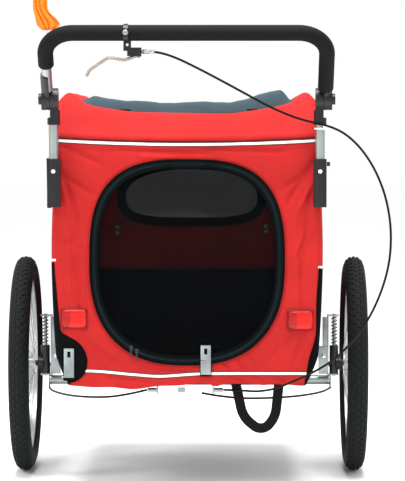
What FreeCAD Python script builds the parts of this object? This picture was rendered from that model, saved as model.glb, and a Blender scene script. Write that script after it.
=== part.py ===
import FreeCAD, Part

import math
import os
import re

# A two-wheeled bicycle trailer with a soft cabin, a tilting push handle, a parking and service brake
# worked from the handle, sprung wheels and a removable tow bar.
# Millimetres. +X is the trailer's right seen from behind, +Y forward, +Z up, the floor is z = 0.
# Every sub-part is built with y = 0 at the wheel axle; its Placement then moves it by axle_shift, so
# that the document's origin is on the floor under the middle of the whole trailer.

Vector = FreeCAD.Vector

DIMENSIONS = [
    # name, value, meaning
    ("axle_shift", -318.6, "axle, from the middle of the trailer's length"),
    ("tyre_radius", 250.0, "outside radius of the 47-406 tyre"),
    ("tyre_section", 47.0, "tyre width and height"),
    ("tyre_wall", 3.5, "thickness of the casing"),
    ("rim_radius", 209.0, "top of the rim's hooks"),
    ("rim_inner", 191.0, "inside of the double-wall rim"),
    ("rim_width", 25.0, "outside width of the rim"),
    ("rim_channel", 19.0, "width of the channel that holds the beads"),
    ("spoke_radius", 1.0, "2 mm spokes"),
    ("spoke_number", 20, "spokes in a wheel"),
    ("hub_radius", 15.0, "hub barrel"),
    ("hub_flange", 28.0, "hub flange radius"),
    ("hub_width", 46.0, "over the flanges"),
    ("wheel_gauge", 767.0, "between the wheels' middle planes"),
    ("axle_radius", 6.0, "12 mm stub axle"),
    ("axle_play", 0.05, "running clearance of the hub on its axle"),
    ("rod_radius", 4.0, "suspension guide rod"),
    ("rod_gauge", 676.0, "between the guide rods"),
    ("carrier_low", 226.0, "bottom of the axle carrier"),
    ("carrier_high", 292.0, "top of the axle carrier, under the spring"),
    ("spring_high", 360.0, "top of the spring"),
    ("cross_tube_radius", 11.0, "22 mm tubes"),
    ("tube_wall", 1.5, "wall of the frame tubes"),
    ("cross_tube_height", 211.0, "centre of the axle cross tube"),
    ("cross_tube_length", 650.0, "axle cross tube"),
    ("frame_height", 252.0, "centre of the floor frame's tubes"),
    ("frame_width", 480.0, "between the side rails' centres"),
    ("frame_length", 700.0, "between the end rails' centres"),
    ("hoop_gauge", 540.0, "between the side hoops' uprights"),
    ("hoop_top_gauge", 500.0, "between the side hoops' top bars"),
    ("cabin_half_length", 380.0, "axle to the rear and front walls"),
    ("cabin_low", 236.0, "underside of the floor panel"),
    ("cabin_belt", 774.0, "height of the seam under the roof"),
    ("cabin_high", 881.0, "corner of the roof, before rounding"),
    ("fabric", 3.0, "thickness of the lined covers"),
    ("door_width", 427.0, "rear door opening"),
    ("door_height", 448.0, "rear door opening"),
    ("door_centre", 506.0, "middle of the rear door"),
    ("door_corner", 150.0, "corner radius of the rear door"),
    ("door_hinge", 338.0, "line where the door flap rolls down"),
    ("socket_gauge", 580.0, "between the handle sockets"),
    ("socket_low", 628.0, "foot of the handle sockets"),
    ("socket_high", 733.0, "mouth of the handle sockets"),
    ("socket_back", 401.0, "sockets' axis behind the axle"),
    ("stub_radius", 10.5, "handle stub tubes"),
    ("stub_play", 0.08, "sliding clearance of the stubs"),
    ("ratchet_height", 863.0, "tilt axis of the handle"),
    ("ratchet_radius", 24.0, "ratchet housings"),
    ("grip_radius", 17.0, "foam grip"),
    ("handle_gauge", 602.0, "between the handle's side legs"),
    ("handle_reach", 196.0, "tilt axis to crossbar"),
    ("handle_lean", 45.0, "handle leans back from upright, degrees"),
    ("handle_bend", 62.0, "bend radius of the handle"),
    ("lever_pivot", -94.0, "brake lever's pivot, from the middle plane"),
    ("tow_radius", 12.5, "25 mm tow bar"),
    ("tow_offset", -205.0, "tow bar's receiver, left of the middle plane"),
    ("tow_height", 217.0, "tow bar's receiver"),
    ("pole_radius", 3.0, "flag pole"),
    ("cable_radius", 2.5, "brake cable housing"),
    ("plate_width", 22.0, "slotted rear plates"),
    ("plate_height", 64.0, "slotted rear plates"),
    ("plate_thickness", 3.0, "slotted rear plates"),
    ("slot_width", 7.0, "slot for a strap or a lamp"),
    ("slot_height", 13.0, "slot for a strap or a lamp"),
]
SIZE = {name: value for name, value, _ in DIMENSIONS}
WORD = re.compile(r"[a-z_]+")

doc = FreeCAD.newDocument("bicycle_trailer")
sheet = doc.addObject("Spreadsheet::Sheet", "Dimensions")
SUBPARTS = []


def fill_sheet():
    """Write each driving dimension with its alias and its meaning."""
    for row, (name, value, meaning) in enumerate(DIMENSIONS, start=1):
        sheet.set(f"A{row}", name)
        sheet.set(f"B{row}", str(value))
        sheet.setAlias(f"B{row}", name)
        sheet.set(f"C{row}", meaning)
    doc.recompute()


# ---------------------------------------------------------------- helpers

def bind(item, prop, expression):
    """Bind a property to an expression written with the sheet's names."""
    def full_name(found):
        word = found.group()
        return "Dimensions." + word if word in SIZE else word
    item.setExpression(prop, WORD.sub(full_name, str(expression)))


TURN = {
    "x": FreeCAD.Rotation(Vector(0, 1, 0), 90),
    "y": FreeCAD.Rotation(Vector(1, 0, 0), -90),
    "z": FreeCAD.Rotation(),
}


def place(item, at, axis="z"):
    """Turn an object's own z axis to an axis, and bind its position."""
    item.Placement = FreeCAD.Placement(Vector(), TURN[axis])
    for letter, expression in zip("xyz", at):
        bind(item, "Placement.Base." + letter, expression)
    return item


def middle(at, axis, length):
    """Move a start point back by half a length along an axis."""
    moved = list(at)
    index = "xyz".index(axis)
    moved[index] = f"({at[index]}) - ({length}) / 2"
    return moved


def rod(axis, radius, length, at):
    """A cylinder with its middle at a point."""
    item = doc.addObject("Part::Cylinder", "rod")
    bind(item, "Radius", radius)
    bind(item, "Height", length)
    return place(item, middle(at, axis, length), axis)


def block(lengths, at):
    """A box with its middle at a point."""
    item = doc.addObject("Part::Box", "block")
    for prop, length in zip(("Length", "Width", "Height"), lengths):
        bind(item, prop, length)
    return place(item, [f"({c}) - ({d}) / 2" for c, d in zip(at, lengths)])


def ring(axis, major, minor, at):
    """A torus around an axis, with its middle at a point."""
    item = doc.addObject("Part::Torus", "ring")
    bind(item, "Radius1", major)
    bind(item, "Radius2", minor)
    return place(item, at, axis)


def cut(base, *tools):
    """The base without the tools."""
    for tool in tools:
        item = doc.addObject("Part::Cut", "cut")
        item.Base, item.Tool = base, tool
        base = item
    return base


def join(*items):
    """One solid from several that overlap."""
    item = doc.addObject("Part::MultiFuse", "join")
    item.Shapes = list(items)
    item.Refine = True
    return item


def feature(shape):
    """A shape worked out by this file, as an object of the document."""
    item = doc.addObject("Part::Feature", "shape")
    item.Shape = shape
    return item


def subpart(label, *solids):
    """A named sub-part, made of one or more separate solids."""
    item = doc.addObject("Part::Compound", label)
    item.Label = label
    item.Links = list(solids)
    bind(item, "Placement.Base.y", "axle_shift")
    SUBPARTS.append(item)
    return item


def hollow_rod(axis, radius, wall, length, at):
    """A straight tube with its middle at a point."""
    return cut(rod(axis, radius, length, at), rod(axis, f"{radius} - {wall}", f"{length} + 2", at))


# ---------------------------------------------------------------- paths and outlines

def corner(before, point, after, radius):
    """Where an arc of a radius starts, passes and ends at a corner of a path."""
    toward, away = (before - point).normalize(), (after - point).normalize()
    half_turn = (math.pi - toward.getAngle(away)) / 2
    reach = radius * math.tan(half_turn)
    bisector = (toward + away).normalize()
    deep = radius / math.cos(half_turn) - radius
    return point + toward * reach, point + bisector * deep, point + away * reach


def bent_wire(points, radii, closed=False):
    """Straight runs joined by tangent arcs, one radius for each corner."""
    points = [Vector(*point) for point in points]
    count = len(points)
    inner = range(count) if closed else range(1, count - 1)
    bends = {i: corner(points[i - 1], points[i], points[(i + 1) % count], radius)
             for i, radius in zip(inner, radii)}
    edges = []
    for i in range(count if closed else count - 1):
        after = (i + 1) % count
        start = bends[i][2] if i in bends else points[i]
        end = bends[after][0] if after in bends else points[after]
        if start.distanceToPoint(end) > 1e-6:
            edges.append(Part.LineSegment(start, end).toShape())
        if after in bends:
            edges.append(Part.Arc(*bends[after]).toShape())
    return Part.Wire(edges)


def swept(wire, radius):
    """A round bar along a wire."""
    first = wire.Edges[0]
    start = first.valueAt(first.FirstParameter)
    heading = first.tangentAt(first.FirstParameter)
    circle = Part.Wire(Part.makeCircle(radius, start, heading))
    return wire.makePipeShell([circle], True, False)


def bent_tube(points, radii, radius, wall):
    """A hollow tube along a bent path."""
    wire = bent_wire(points, radii)
    return swept(wire, radius).cut(swept(wire, radius - wall))


def cable_radii(points):
    """The largest arc that each corner's two runs allow."""
    points = [Vector(*point) for point in points]
    radii = []
    for before, point, after in zip(points, points[1:], points[2:]):
        shorter = min(before.distanceToPoint(point), after.distanceToPoint(point))
        half_turn = (math.pi - (before - point).getAngle(after - point)) / 2
        radii.append(0.45 * shorter / math.tan(half_turn))
    return radii


def cable(name, points):
    """A cable's solid, with its smallest bend printed and its volume compared."""
    radii = cable_radii(points)
    wire = bent_wire(points, radii)
    solid = swept(wire, SIZE["cable_radius"])
    expected = math.pi * SIZE["cable_radius"] ** 2 * wire.Length
    print(f"{name}: length {wire.Length:.0f}, smallest radius {min(radii):.0f}, "
          f"volume ratio {solid.Volume / expected:.4f}")
    return solid


def slab(wire, direction):
    """The solid between a closed flat wire and its copy moved by a direction."""
    return Part.Face(wire).extrude(Vector(*direction))


def front_outline(grow=0.0):
    """The cabin seen from behind, in the plane y = 0, grown or shrunk by a distance."""
    low, belt, high = SIZE["cabin_low"], 530.0, SIZE["cabin_high"]
    half = [(262, low, 14), (290, 300, 90), (298.5, belt, 900), (286, high, 31)]
    right = [(x, 0, z) for x, z, _ in half]
    left = [(-x, 0, z) for x, z, _ in reversed(half)]
    dip = [(0, 0, high - 35)]
    radii = [r for *_, r in half] + [1500] + [r for *_, r in reversed(half)]
    wire = bent_wire(right + dip + left, radii, closed=True)
    return wire.makeOffset2D(grow) if grow else wire


def side_outline(grow=0.0):
    """The cabin seen from the side, in the plane x = 0, grown or shrunk by a distance."""
    end, low, high = SIZE["cabin_half_length"], SIZE["cabin_low"], SIZE["cabin_high"]
    points = [(-end, low, 12), (-end, SIZE["cabin_belt"], 40), (-309, high, 30),
              (270, high, 60), (end, 560, 90), (end, low, 12)]
    wire = bent_wire([(0, y, z) for y, z, _ in points], [r for *_, r in points], closed=True)
    return wire.makeOffset2D(grow) if grow else wire


def across(wire, reach=700.0):
    """A side outline drawn across the whole width."""
    moved = wire.copy()
    moved.translate(Vector(-reach / 2, 0, 0))
    return slab(moved, (reach, 0, 0))


def along(wire, reach=900.0):
    """A front outline drawn along the whole length."""
    moved = wire.copy()
    moved.translate(Vector(0, -reach / 2, 0))
    return slab(moved, (0, reach, 0))


def span(low, high):
    """A box between two corners."""
    return Part.makeBox(high[0] - low[0], high[1] - low[1], high[2] - low[2], Vector(*low))


def rounded_window(centre, size, radius, plane, reach, grow=0.0):
    """A rounded opening drawn right through the cabin, seen from behind (xz) or the side (yz)."""
    a, b = size[0] / 2 + grow, size[1] / 2 + grow
    corners = [(-a, -b), (a, -b), (a, b), (-a, b)]
    if plane == "xz":
        points = [(centre[0] + u, centre[1], centre[2] + v) for u, v in corners]
        direction = (0, reach, 0)
    elif plane == "yz":
        points = [(centre[0], centre[1] + u, centre[2] + v) for u, v in corners]
        direction = (reach, 0, 0)
    else:
        points = [(centre[0] + u, centre[1] + v, centre[2]) for u, v in corners]
        direction = (0, 0, reach)
    return slab(bent_wire(points, [radius + grow] * 4, closed=True), direction)


# ---------------------------------------------------------------- wheels

SIDES = (("left", -1), ("right", 1))


def wheel_middle(side):
    """The middle of a wheel, as expressions."""
    return [f"{side} * wheel_gauge / 2", "0", "tyre_radius"]


def make_tyre(name, side):
    """An open casing: a hollow ring cut away over the rim's channel."""
    major = "tyre_radius - tyre_section / 2"
    centre = wheel_middle(side)
    outside = ring("x", major, "tyre_section / 2", centre)
    air = ring("x", major, "tyre_section / 2 - tyre_wall", centre)
    rim_space = rod("x", "rim_radius + 0.3", "tyre_section + 4", centre)
    subpart(f"{name}_tyre", cut(outside, air, rim_space))


def make_rim(name, side):
    """A rim with a channel for the beads and a hollow chamber under it."""
    centre = wheel_middle(side)
    outside = rod("x", "rim_radius", "rim_width", centre)
    eye = rod("x", "rim_inner", "rim_width + 4", centre)
    floor = rod("x", "rim_radius - 7", "rim_channel + 4", centre)
    channel = cut(rod("x", "rim_radius + 1", "rim_channel", centre), floor)
    chamber = cut(rod("x", "rim_radius - 9", "rim_channel", centre),
                  rod("x", "rim_inner + 2", "rim_channel + 4", centre))
    subpart(f"{name}_rim", cut(outside, eye, channel, chamber))


def make_spokes(name, side):
    """Crossed spokes from both flanges to the rim."""
    radius = SIZE["spoke_radius"]
    middle_x = side * SIZE["wheel_gauge"] / 2
    number = int(SIZE["spoke_number"])
    flange, rim = SIZE["hub_flange"] + 0.8, SIZE["rim_inner"] - 0.6
    spokes = []
    for i in range(number):
        outward = 1 if i % 2 else -1
        heads_out = 1 if (i // 2) % 2 else -1
        lean = math.radians(26) * heads_out
        at_rim = 2 * math.pi * i / number
        at_hub = at_rim + lean
        x_hub = middle_x + outward * (SIZE["hub_width"] / 2 - 2 + 2.6 * heads_out)
        start = Vector(x_hub, flange * math.cos(at_hub), SIZE["tyre_radius"] + flange * math.sin(at_hub))
        end = Vector(middle_x + outward * 2, rim * math.cos(at_rim), SIZE["tyre_radius"] + rim * math.sin(at_rim))
        spokes.append(Part.makeCylinder(radius, start.distanceToPoint(end), start, end - start))
    subpart(f"{name}_spokes", *[feature(spoke) for spoke in spokes])


def make_hub(name, side):
    """A hub barrel with two flanges, bored for its stub axle."""
    centre = wheel_middle(side)
    barrel = rod("x", "hub_radius", "hub_width", centre)
    flanges = [rod("x", "hub_flange", "3", [f"{centre[0]} + {end} * (hub_width / 2 - 2)", "0", centre[2]])
               for end in (-1, 1)]
    bore = rod("x", "axle_radius + axle_play", "hub_width + 4", centre)
    subpart(f"{name}_hub", cut(join(barrel, *flanges), bore))


def make_wheel_reflector():
    """An amber lens clipped on the left wheel's spokes."""
    lens = block(("9", "22", "56"), [f"-wheel_gauge / 2 - 15", "0", "tyre_radius + 135"])
    subpart("left_wheel_reflector", lens)


# ---------------------------------------------------------------- suspension and brakes

def make_axle_carrier(name, side):
    """A block that slides on the guide rod and holds the stub axle with its end nut."""
    rod_x = f"{side} * rod_gauge / 2"
    height = "(carrier_high - carrier_low)"
    sleeve = rod("z", "10.5", height, [rod_x, "0", "(carrier_high + carrier_low) / 2"])
    boss = rod("x", "15", "12", [f"{rod_x} + {side} * 11", "0", "tyre_radius"])
    bore = rod("z", "rod_radius + 0.1", "carrier_high", [rod_x, "0", "(carrier_high + carrier_low) / 2"])
    seat = rod("x", "axle_radius", "40", [f"{rod_x} + {side} * 26", "0", "tyre_radius"])
    axle = rod("x", "axle_radius", "64.5", [f"{side} * (rod_gauge / 2 + 38.55)", "0", "tyre_radius"])
    nut = cut(rod("x", "10", "6", [f"{side} * (wheel_gauge / 2 + 27)", "0", "tyre_radius"]),
              rod("x", "axle_radius", "10", [f"{side} * (wheel_gauge / 2 + 27)", "0", "tyre_radius"]))
    subpart(f"{name}_axle_carrier", cut(join(sleeve, boss), bore, seat), axle, nut)


def coil(radius, wire_radius, turns, low, high, at):
    """A helical spring standing on z."""
    pitch = (high - low - 2 * wire_radius) / turns
    helix = Part.makeHelix(pitch, pitch * turns, radius)
    helix.translate(Vector(at[0], at[1], low + wire_radius))
    start = helix.Edges[0].valueAt(helix.Edges[0].FirstParameter)
    heading = helix.Edges[0].tangentAt(helix.Edges[0].FirstParameter)
    circle = Part.Wire(Part.makeCircle(wire_radius, start, heading))
    return Part.Wire(helix).makePipeShell([circle], True, True)


def make_spring(name, side):
    """The wheel's coil spring, between the carrier and the bracket's top lug."""
    low, high = SIZE["carrier_high"] + 0.3, SIZE["spring_high"] - 0.3
    spring = coil(6.6, 1.1, 8, low, high, (side * SIZE["rod_gauge"] / 2, 0))
    subpart(f"{name}_spring", feature(spring))


def make_suspension_brackets():
    """A pressed upright at each end of the cross tube, its two lugs, guide rod and rod head."""
    pieces = []
    for _, side in SIDES:
        rod_x = f"{side} * rod_gauge / 2"
        low, high = "carrier_low", "spring_high"
        web_x = f"{side} * (rod_gauge / 2 - 14.5)"
        web = block(("3", "34", "spring_high - carrier_low + 8"), [web_x, "0", f"({low} + {high}) / 2"])
        lugs = [block(("27", "18", "3.5"), [f"{side} * (rod_gauge / 2 - 2.5)", "0", level])
                for level in (f"{low} - 2.25", f"{high} + 2.25")]
        cheek = block(("22", "3", "66"), [f"{side} * (rod_gauge / 2 - 26)", "-15.5", "259"])
        hole = rod("z", "rod_radius", "200", [rod_x, "0", "(carrier_low + spring_high) / 2"])
        pieces.append(cut(join(web, *lugs, cheek), hole))
        guide = rod("z", "rod_radius", "spring_high - carrier_low + 12", [rod_x, "0", "(carrier_low + spring_high) / 2"])
        pieces.append(guide)
    subpart("suspension_brackets", *pieces)


def make_brake_arm(name, side):
    """A pressed arm behind the hub that turns the brake cam when its cable pulls."""
    arm_x = f"{side} * (rod_gauge / 2 - 8)"
    pin = rod("x", "4", "9", [f"{side} * (rod_gauge / 2 - 7.5)", "22", "244"])
    arm = block(("3", "12", "62"), [arm_x, "22", "218"])
    subpart(f"{name}_brake_arm", join(pin, arm))


def make_cable_anchors():
    """Two housing stops under the floor, each a lug with a threaded adjuster."""
    pieces = []
    for x, outward in (("-66", -1), ("57", 1)):
        lug = block(("4", "16", "22"), [x, "-340", "225"])
        adjuster = rod("x", "4.5", "20", [f"{x} + {outward} * 12", "-340", "222"])
        hole = rod("x", "1.2", "60", [x, "-340", "222"])
        pieces.append(cut(join(lug, adjuster), hole))
    subpart("cable_anchors", *pieces)


def make_brake_yoke():
    """The splitter that the handle's inner wire pulls, with the inner wires on both sides."""
    body = block(("16", "10", "10"), ["-13", "-340", "222"])
    wires = rod("x", "0.8", "96", ["-4.5", "-340", "222"])
    subpart("brake_yoke", join(body, wires))


# Hand-chosen routes of the cables, y from the axle.
UPPER_CABLE = [(-82, -541, 962), (-62, -541, 962), (-24, -538, 951), (26, -524, 927), (78, -505, 900),
               (130, -486, 872), (184, -466, 843), (236, -448, 822), (270, -436, 813), (290, -428, 808)]
LOWER_CABLE = [(293, -427, 808), (314, -421, 803), (348, -414, 786), (384, -406, 751), (415, -398, 701),
               (437, -392, 641), (447, -388, 573), (443, -386, 503), (423, -386, 434), (391, -388, 370),
               (349, -392, 318), (309, -398, 284), (266, -402, 262)]
UNDER_CABLE = [(264, -402, 261), (232, -404, 247), (194, -395, 230), (156, -368, 221), (118, -342, 221),
               (79.5, -340, 222)]
LEFT_CABLE = [(-89, -340, 222), (-122, -340, 214), (-168, -318, 204), (-212, -270, 198), (-250, -205, 193),
              (-282, -140, 190), (-306, -80, 189), (-322, -30, 189), (-330, 15, 191)]
RIGHT_CABLE = [(32, -330, 214), (64, -318, 207), (112, -296, 199), (162, -262, 195), (212, -214, 192),
               (254, -160, 190), (288, -104, 189), (314, -46, 189), (330, 15, 191)]


def make_cables():
    """The handle cable in its two free stretches, and the cables under the floor."""
    subpart("brake_cable_upper", feature(cable("brake_cable_upper", UPPER_CABLE)))
    subpart("brake_cable_lower", feature(cable("brake_cable_lower", LOWER_CABLE)))
    under = [("under", UNDER_CABLE), ("left", LEFT_CABLE), ("right", RIGHT_CABLE)]
    subpart("underfloor_cables", *[feature(cable(name, points)) for name, points in under])


# ---------------------------------------------------------------- frame

def make_floor_frame():
    """A rectangle of tube with bent corners and one cross rail."""
    x, y, z = SIZE["frame_width"] / 2, SIZE["frame_length"] / 2, SIZE["frame_height"]
    radius, wall = SIZE["cross_tube_radius"], SIZE["tube_wall"]
    points = [(0, -y, z), (x, -y, z), (x, y, z), (0, y, z)]
    half = bent_tube(points, [45, 45], radius, wall)
    other = half.mirror(Vector(), Vector(1, 0, 0))
    loop = feature(half.fuse(other).removeSplitter())
    subpart("floor_frame", loop)


def make_cross_tube():
    """The axle cross tube with a plug in each end."""
    centre = ["0", "0", "cross_tube_height"]
    tube = hollow_rod("x", "cross_tube_radius", "tube_wall", "cross_tube_length", centre)
    plugs = [rod("x", "cross_tube_radius", "3", [f"{side} * (cross_tube_length / 2 + 1.5)", "0", centre[2]])
             for _, side in SIDES]
    subpart("axle_cross_tube", tube, *plugs)


HOOP_FOOT = 296.0


def hoop_points(side):
    """The path of a side hoop, from its rear foot over the top to its front foot."""
    x, top_x = side * SIZE["hoop_gauge"] / 2, side * SIZE["hoop_top_gauge"] / 2
    foot, top = HOOP_FOOT, 859
    return [(x, -362, foot), (x, -362, 762), (top_x, -297, top), (top_x, 258, top), (x, 362, 548), (x, 362, foot)]


def make_upper_frame():
    """Two side hoops and the two bars between them."""
    radius, wall = SIZE["cross_tube_radius"], SIZE["tube_wall"]
    hoops = [feature(bent_tube(hoop_points(side), [60, 50, 60, 90], radius, wall)) for _, side in SIDES]
    length = "hoop_gauge - 2 * cross_tube_radius - 1"
    bars = [hollow_rod("x", "8", "tube_wall", length, ["0", y, z]) for y, z in (("-362", "742"), ("352", "540"))]
    subpart("upper_frame", *hoops, *bars)


def make_frame_joints():
    """Corner blocks that take the hoops' feet, and clamps from the floor frame to the cross tube."""
    pieces = []
    x, y, z = SIZE["frame_width"] / 2, SIZE["frame_length"] / 2, SIZE["frame_height"]
    radius = SIZE["cross_tube_radius"]
    rails = swept(bent_wire([(0, -y, z), (x, -y, z), (x, y, z), (0, y, z)], [45, 45]), radius)
    foot = SIZE["hoop_gauge"] / 2
    upper = span((foot - 24, 348, 280), (foot + 6, 375, 318))
    lower = span((x - 20, 328, 250), (x + 20, 375, 281))
    socket = Part.makeCylinder(radius, 60, Vector(foot, 362, HOOP_FOOT), Vector(0, 0, 1))
    front = upper.fuse(lower).cut(socket).cut(rails).removeSplitter()
    for block_shape in (front, front.mirror(Vector(), Vector(0, 1, 0))):
        pieces.append(feature(block_shape))
        pieces.append(feature(block_shape.mirror(Vector(), Vector(1, 0, 0))))
    for _, side in SIDES:
        clamp = block(("30", "34", "18"), [f"{side} * frame_width / 2", "0", "231.5"])
        rail = rod("y", "cross_tube_radius", "60", [f"{side} * frame_width / 2", "0", "frame_height"])
        tube = rod("x", "cross_tube_radius", "60", [f"{side} * frame_width / 2", "0", "cross_tube_height"])
        pieces.append(cut(clamp, rail, tube))
    subpart("frame_joints", *pieces)


# ---------------------------------------------------------------- cabin covers

def make_covers():
    """The fabric covers: a shell split at its seams, with its openings."""
    skin, gap = SIZE["fabric"], 0.3
    low, belt = SIZE["cabin_low"], SIZE["cabin_belt"]
    outer_front, inner_front = along(front_outline()), along(front_outline(-skin))
    outer_side, inner_side = across(side_outline()), across(side_outline(-skin))
    inside_side = across(side_outline(-skin - gap))
    outer = outer_front.common(outer_side)
    inner = inner_front.common(inner_side)
    floor_top = low + skin
    ends = outer.common(outer_side.cut(inner_side)).common(span((-400, -500, floor_top + gap), (400, 500, belt)))
    walls = outer_front.cut(inner_front).common(inside_side)

    floor = outer.common(span((-400, -500, 0), (400, 500, floor_top)))
    for _, side in SIDES:
        clamp_x = side * SIZE["frame_width"] / 2
        floor = floor.cut(span((clamp_x - 15.5, -17.5, 0), (clamp_x + 15.5, 17.5, 300)))
    subpart("floor_panel", feature(floor))

    door = rounded_window((0, -450, SIZE["door_centre"]), (SIZE["door_width"], SIZE["door_height"]),
                          SIZE["door_corner"], "xz", 200)
    rear = ends.common(span((-400, -500, 0), (400, 0, 900))).cut(door)
    subpart("rear_cover", feature(rear))

    front = ends.common(span((-400, 0, 0), (400, 500, 900)))
    pane = ((0, 200, 636), (346, 128), 60, "xz", 300)
    subpart("front_cover", feature(front.cut(rounded_window(*pane))))
    front_pane = feature(front.common(rounded_window(*pane, grow=-gap)))

    split = 342.0
    side_pane = ((-400, -10, 560), (470, 250), 70, "yz", 800)
    upper = walls.common(span((-400, -500, split + gap), (400, 500, belt)))
    lower = walls.common(span((-400, -500, floor_top + gap), (400, 500, split)))
    lower = lower.cut(span((-250, -500, 0), (250, 500, 400)))
    both = upper.cut(rounded_window(*side_pane))
    panes = upper.common(rounded_window(*side_pane, grow=-gap))
    subpart("side_covers", *[feature(solid) for solid in both.Solids])
    subpart("windows", front_pane, *[feature(solid) for solid in panes.Solids])
    subpart("side_lower_panels", *[feature(solid) for solid in lower.Solids])

    hatch = rounded_window((0, -55, 700), (380, 380), 50, "xy", 300)
    roof = outer.cut(inner).common(span((-400, -500, belt + gap), (400, 500, 1000))).cut(hatch)
    subpart("roof_cover", feature(roof))

    above = along(front_outline(4.0)).cut(along(front_outline(1.0)))
    lid = above.common(span((-238, -288, 800), (238, 150, 1000)))
    subpart("sunroof_cover", feature(lid))


def door_outline(grow):
    """The rear door's outline, drawn in the plane y = 0."""
    a, b = SIZE["door_width"] / 2 + grow, SIZE["door_height"] / 2 + grow
    z, radius = SIZE["door_centre"], SIZE["door_corner"] + grow
    points = [(-a, 0, z - b), (a, 0, z - b), (a, 0, z + b), (-a, 0, z + b)]
    return bent_wire(points, [radius] * 4, closed=True)


def make_rear_door():
    """The mesh flap above its fold line, the fixed mesh below it and the zip around both."""
    wall = -SIZE["cabin_half_length"]
    mesh = slab(door_outline(-4), (0, 2, 0))
    mesh.translate(Vector(0, wall, 0))
    hinge = SIZE["door_hinge"]
    subpart("rear_door", feature(mesh.common(span((-300, -500, hinge + 0.5), (300, 0, 900)))))
    subpart("rear_door_hem", feature(mesh.common(span((-300, -500, 0), (300, 0, hinge - 0.5)))))
    tape = slab(door_outline(7), (0, 2.4, 0)).cut(slab(door_outline(-3), (0, 2.4, 0)))
    tape.translate(Vector(0, wall - 2.7, 0))
    subpart("rear_door_zip", feature(tape))


def make_floor_pad():
    """A thin padded mat over the floor frame."""
    subpart("floor_pad", block(("450", "650", "14"), ["0", "0", "272"]))


# ---------------------------------------------------------------- fittings on the rear wall

def slotted_plate(name):
    """A pressed plate with a slot, padded and pocketed from sketches on the XZ plane."""
    body = doc.addObject("PartDesign::Body", name)
    plane = next(item for item in body.Origin.OriginFeatures if item.Role == "XZ_Plane")
    steps = (("outline", "PartDesign::Pad", "plate_width", "plate_height", 0.0),
             ("slot", "PartDesign::Pocket", "slot_width", "slot_height", 19.0))
    for label, kind, width, height, rise in steps:
        sketch = body.newObject("Sketcher::SketchObject", f"{name}_{label}")
        sketch.AttachmentSupport = (plane, [""])
        sketch.MapMode = "FlatFace"
        a, b = SIZE[width] / 2, SIZE[height] / 2
        corners = [Vector(-a, rise - b, 0), Vector(a, rise - b, 0), Vector(a, rise + b, 0), Vector(-a, rise + b, 0)]
        for start, end in zip(corners, corners[1:] + corners[:1]):
            sketch.addGeometry(Part.LineSegment(start, end), False)
        step = body.newObject(kind, f"{name}_{label}_step")
        step.Profile = sketch
        step.Midplane = True
        bind(step, "Length", "plate_thickness" if label == "outline" else "plate_thickness * 4")
        doc.recompute()
    return body


def make_rear_brackets():
    """The slotted steel angles at the foot of the rear wall, in the middle and at the left corner."""
    pieces = []
    for index, (x, z) in enumerate(((41, 292), (-259, 285))):
        body = slotted_plate(f"slotted_angle_{index}")
        body.Placement = FreeCAD.Placement(Vector(x, -SIZE["cabin_half_length"] - 4.9, z), FreeCAD.Rotation())
        pieces.append(body)
    subpart("rear_brackets", *pieces)


def make_bolts():
    """The bolts of the rear brackets, sockets and suspension brackets."""
    heads = [("41", "cabin_half_length + 8.3", "282", 5), ("-259", "cabin_half_length + 8.3", "274", 5)]
    for _, side in SIDES:
        heads.append((f"{side} * (rod_gauge / 2 - 28)", "18.9", "264", 5.5))
    bolts = [rod("y", radius, "3.4", [x, f"-({back})", z]) for x, back, z, radius in heads]
    subpart("bracket_bolts", *bolts)


def make_reflectors():
    """Two rectangular rear reflectors with their bases."""
    pieces = []
    for x, z in (("-248", "383"), ("248", "380")):
        pieces.append(block(("58", "7", "44"), [x, "-cabin_half_length - 3.8", z]))
    subpart("rear_reflectors", *pieces)


def make_pull_strap():
    """A loop of webbing under the rear edge, as a flat band with an open middle."""
    points = [(107, 0, 235), (123, 0, 160), (166, 0, 125), (195, 0, 160), (203, 0, 235)]
    band = bent_wire(points, [60, 24, 60])
    first = band.Edges[0]
    start, heading = first.valueAt(first.FirstParameter), first.tangentAt(first.FirstParameter)
    side_way = Vector(0, 1, 0)
    thick = heading.cross(side_way).normalize()
    half_wide, half_thick = 11.0, 0.8
    corners = [start + side_way * a * half_thick + thick * b * half_wide
               for a, b in ((-1, -1), (1, -1), (1, 1), (-1, 1))]
    section = Part.makePolygon(corners + corners[:1])
    strap = band.makePipeShell([section], True, True)
    strap.translate(Vector(0, -319, 0))
    subpart("pull_strap", feature(strap))


# ---------------------------------------------------------------- push handle

def socket_x(side):
    """The axis of a handle socket."""
    return f"{side} * socket_gauge / 2"


def make_handle_sockets():
    """Moulded sockets on the rear corners that take the handle's stub tubes."""
    pieces = []
    for _, side in SIDES:
        height = "socket_high - socket_low"
        level = "(socket_high + socket_low) / 2"
        body = block(("28", "30", height), [socket_x(side), "-socket_back + 3", level])
        back = rod("z", "14", height, [socket_x(side), "-socket_back - 2", level])
        bore = rod("z", "stub_radius + stub_play", height, [socket_x(side), "-socket_back", f"{level} + 3"])
        pin_hole = rod("y", "3.6", "20", [socket_x(side), "-socket_back - 14", "706"])
        pieces.append(cut(join(body, back), bore, pin_hole))
    subpart("handle_sockets", *pieces)


def make_socket_pin(name, side):
    """A sprung pull pin that locks a stub tube in its socket."""
    pin = rod("y", "3.52", "8", [socket_x(side), "-socket_back - 15", "706"])
    knob = rod("y", "4.2", "4", [socket_x(side), "-socket_back - 18.6", "706"])
    subpart(f"{name}_socket_pin", join(pin, knob))


def make_socket_lever():
    """The small clamp lever on the right socket's outer side."""
    pivot = rod("z", "3.5", "9", ["socket_gauge / 2 + 18.5", "-socket_back", "722"])
    arm = block(("5", "26", "7"), ["socket_gauge / 2 + 18.5", "-socket_back + 12", "722"])
    subpart("socket_lever", join(pivot, arm))


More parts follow.
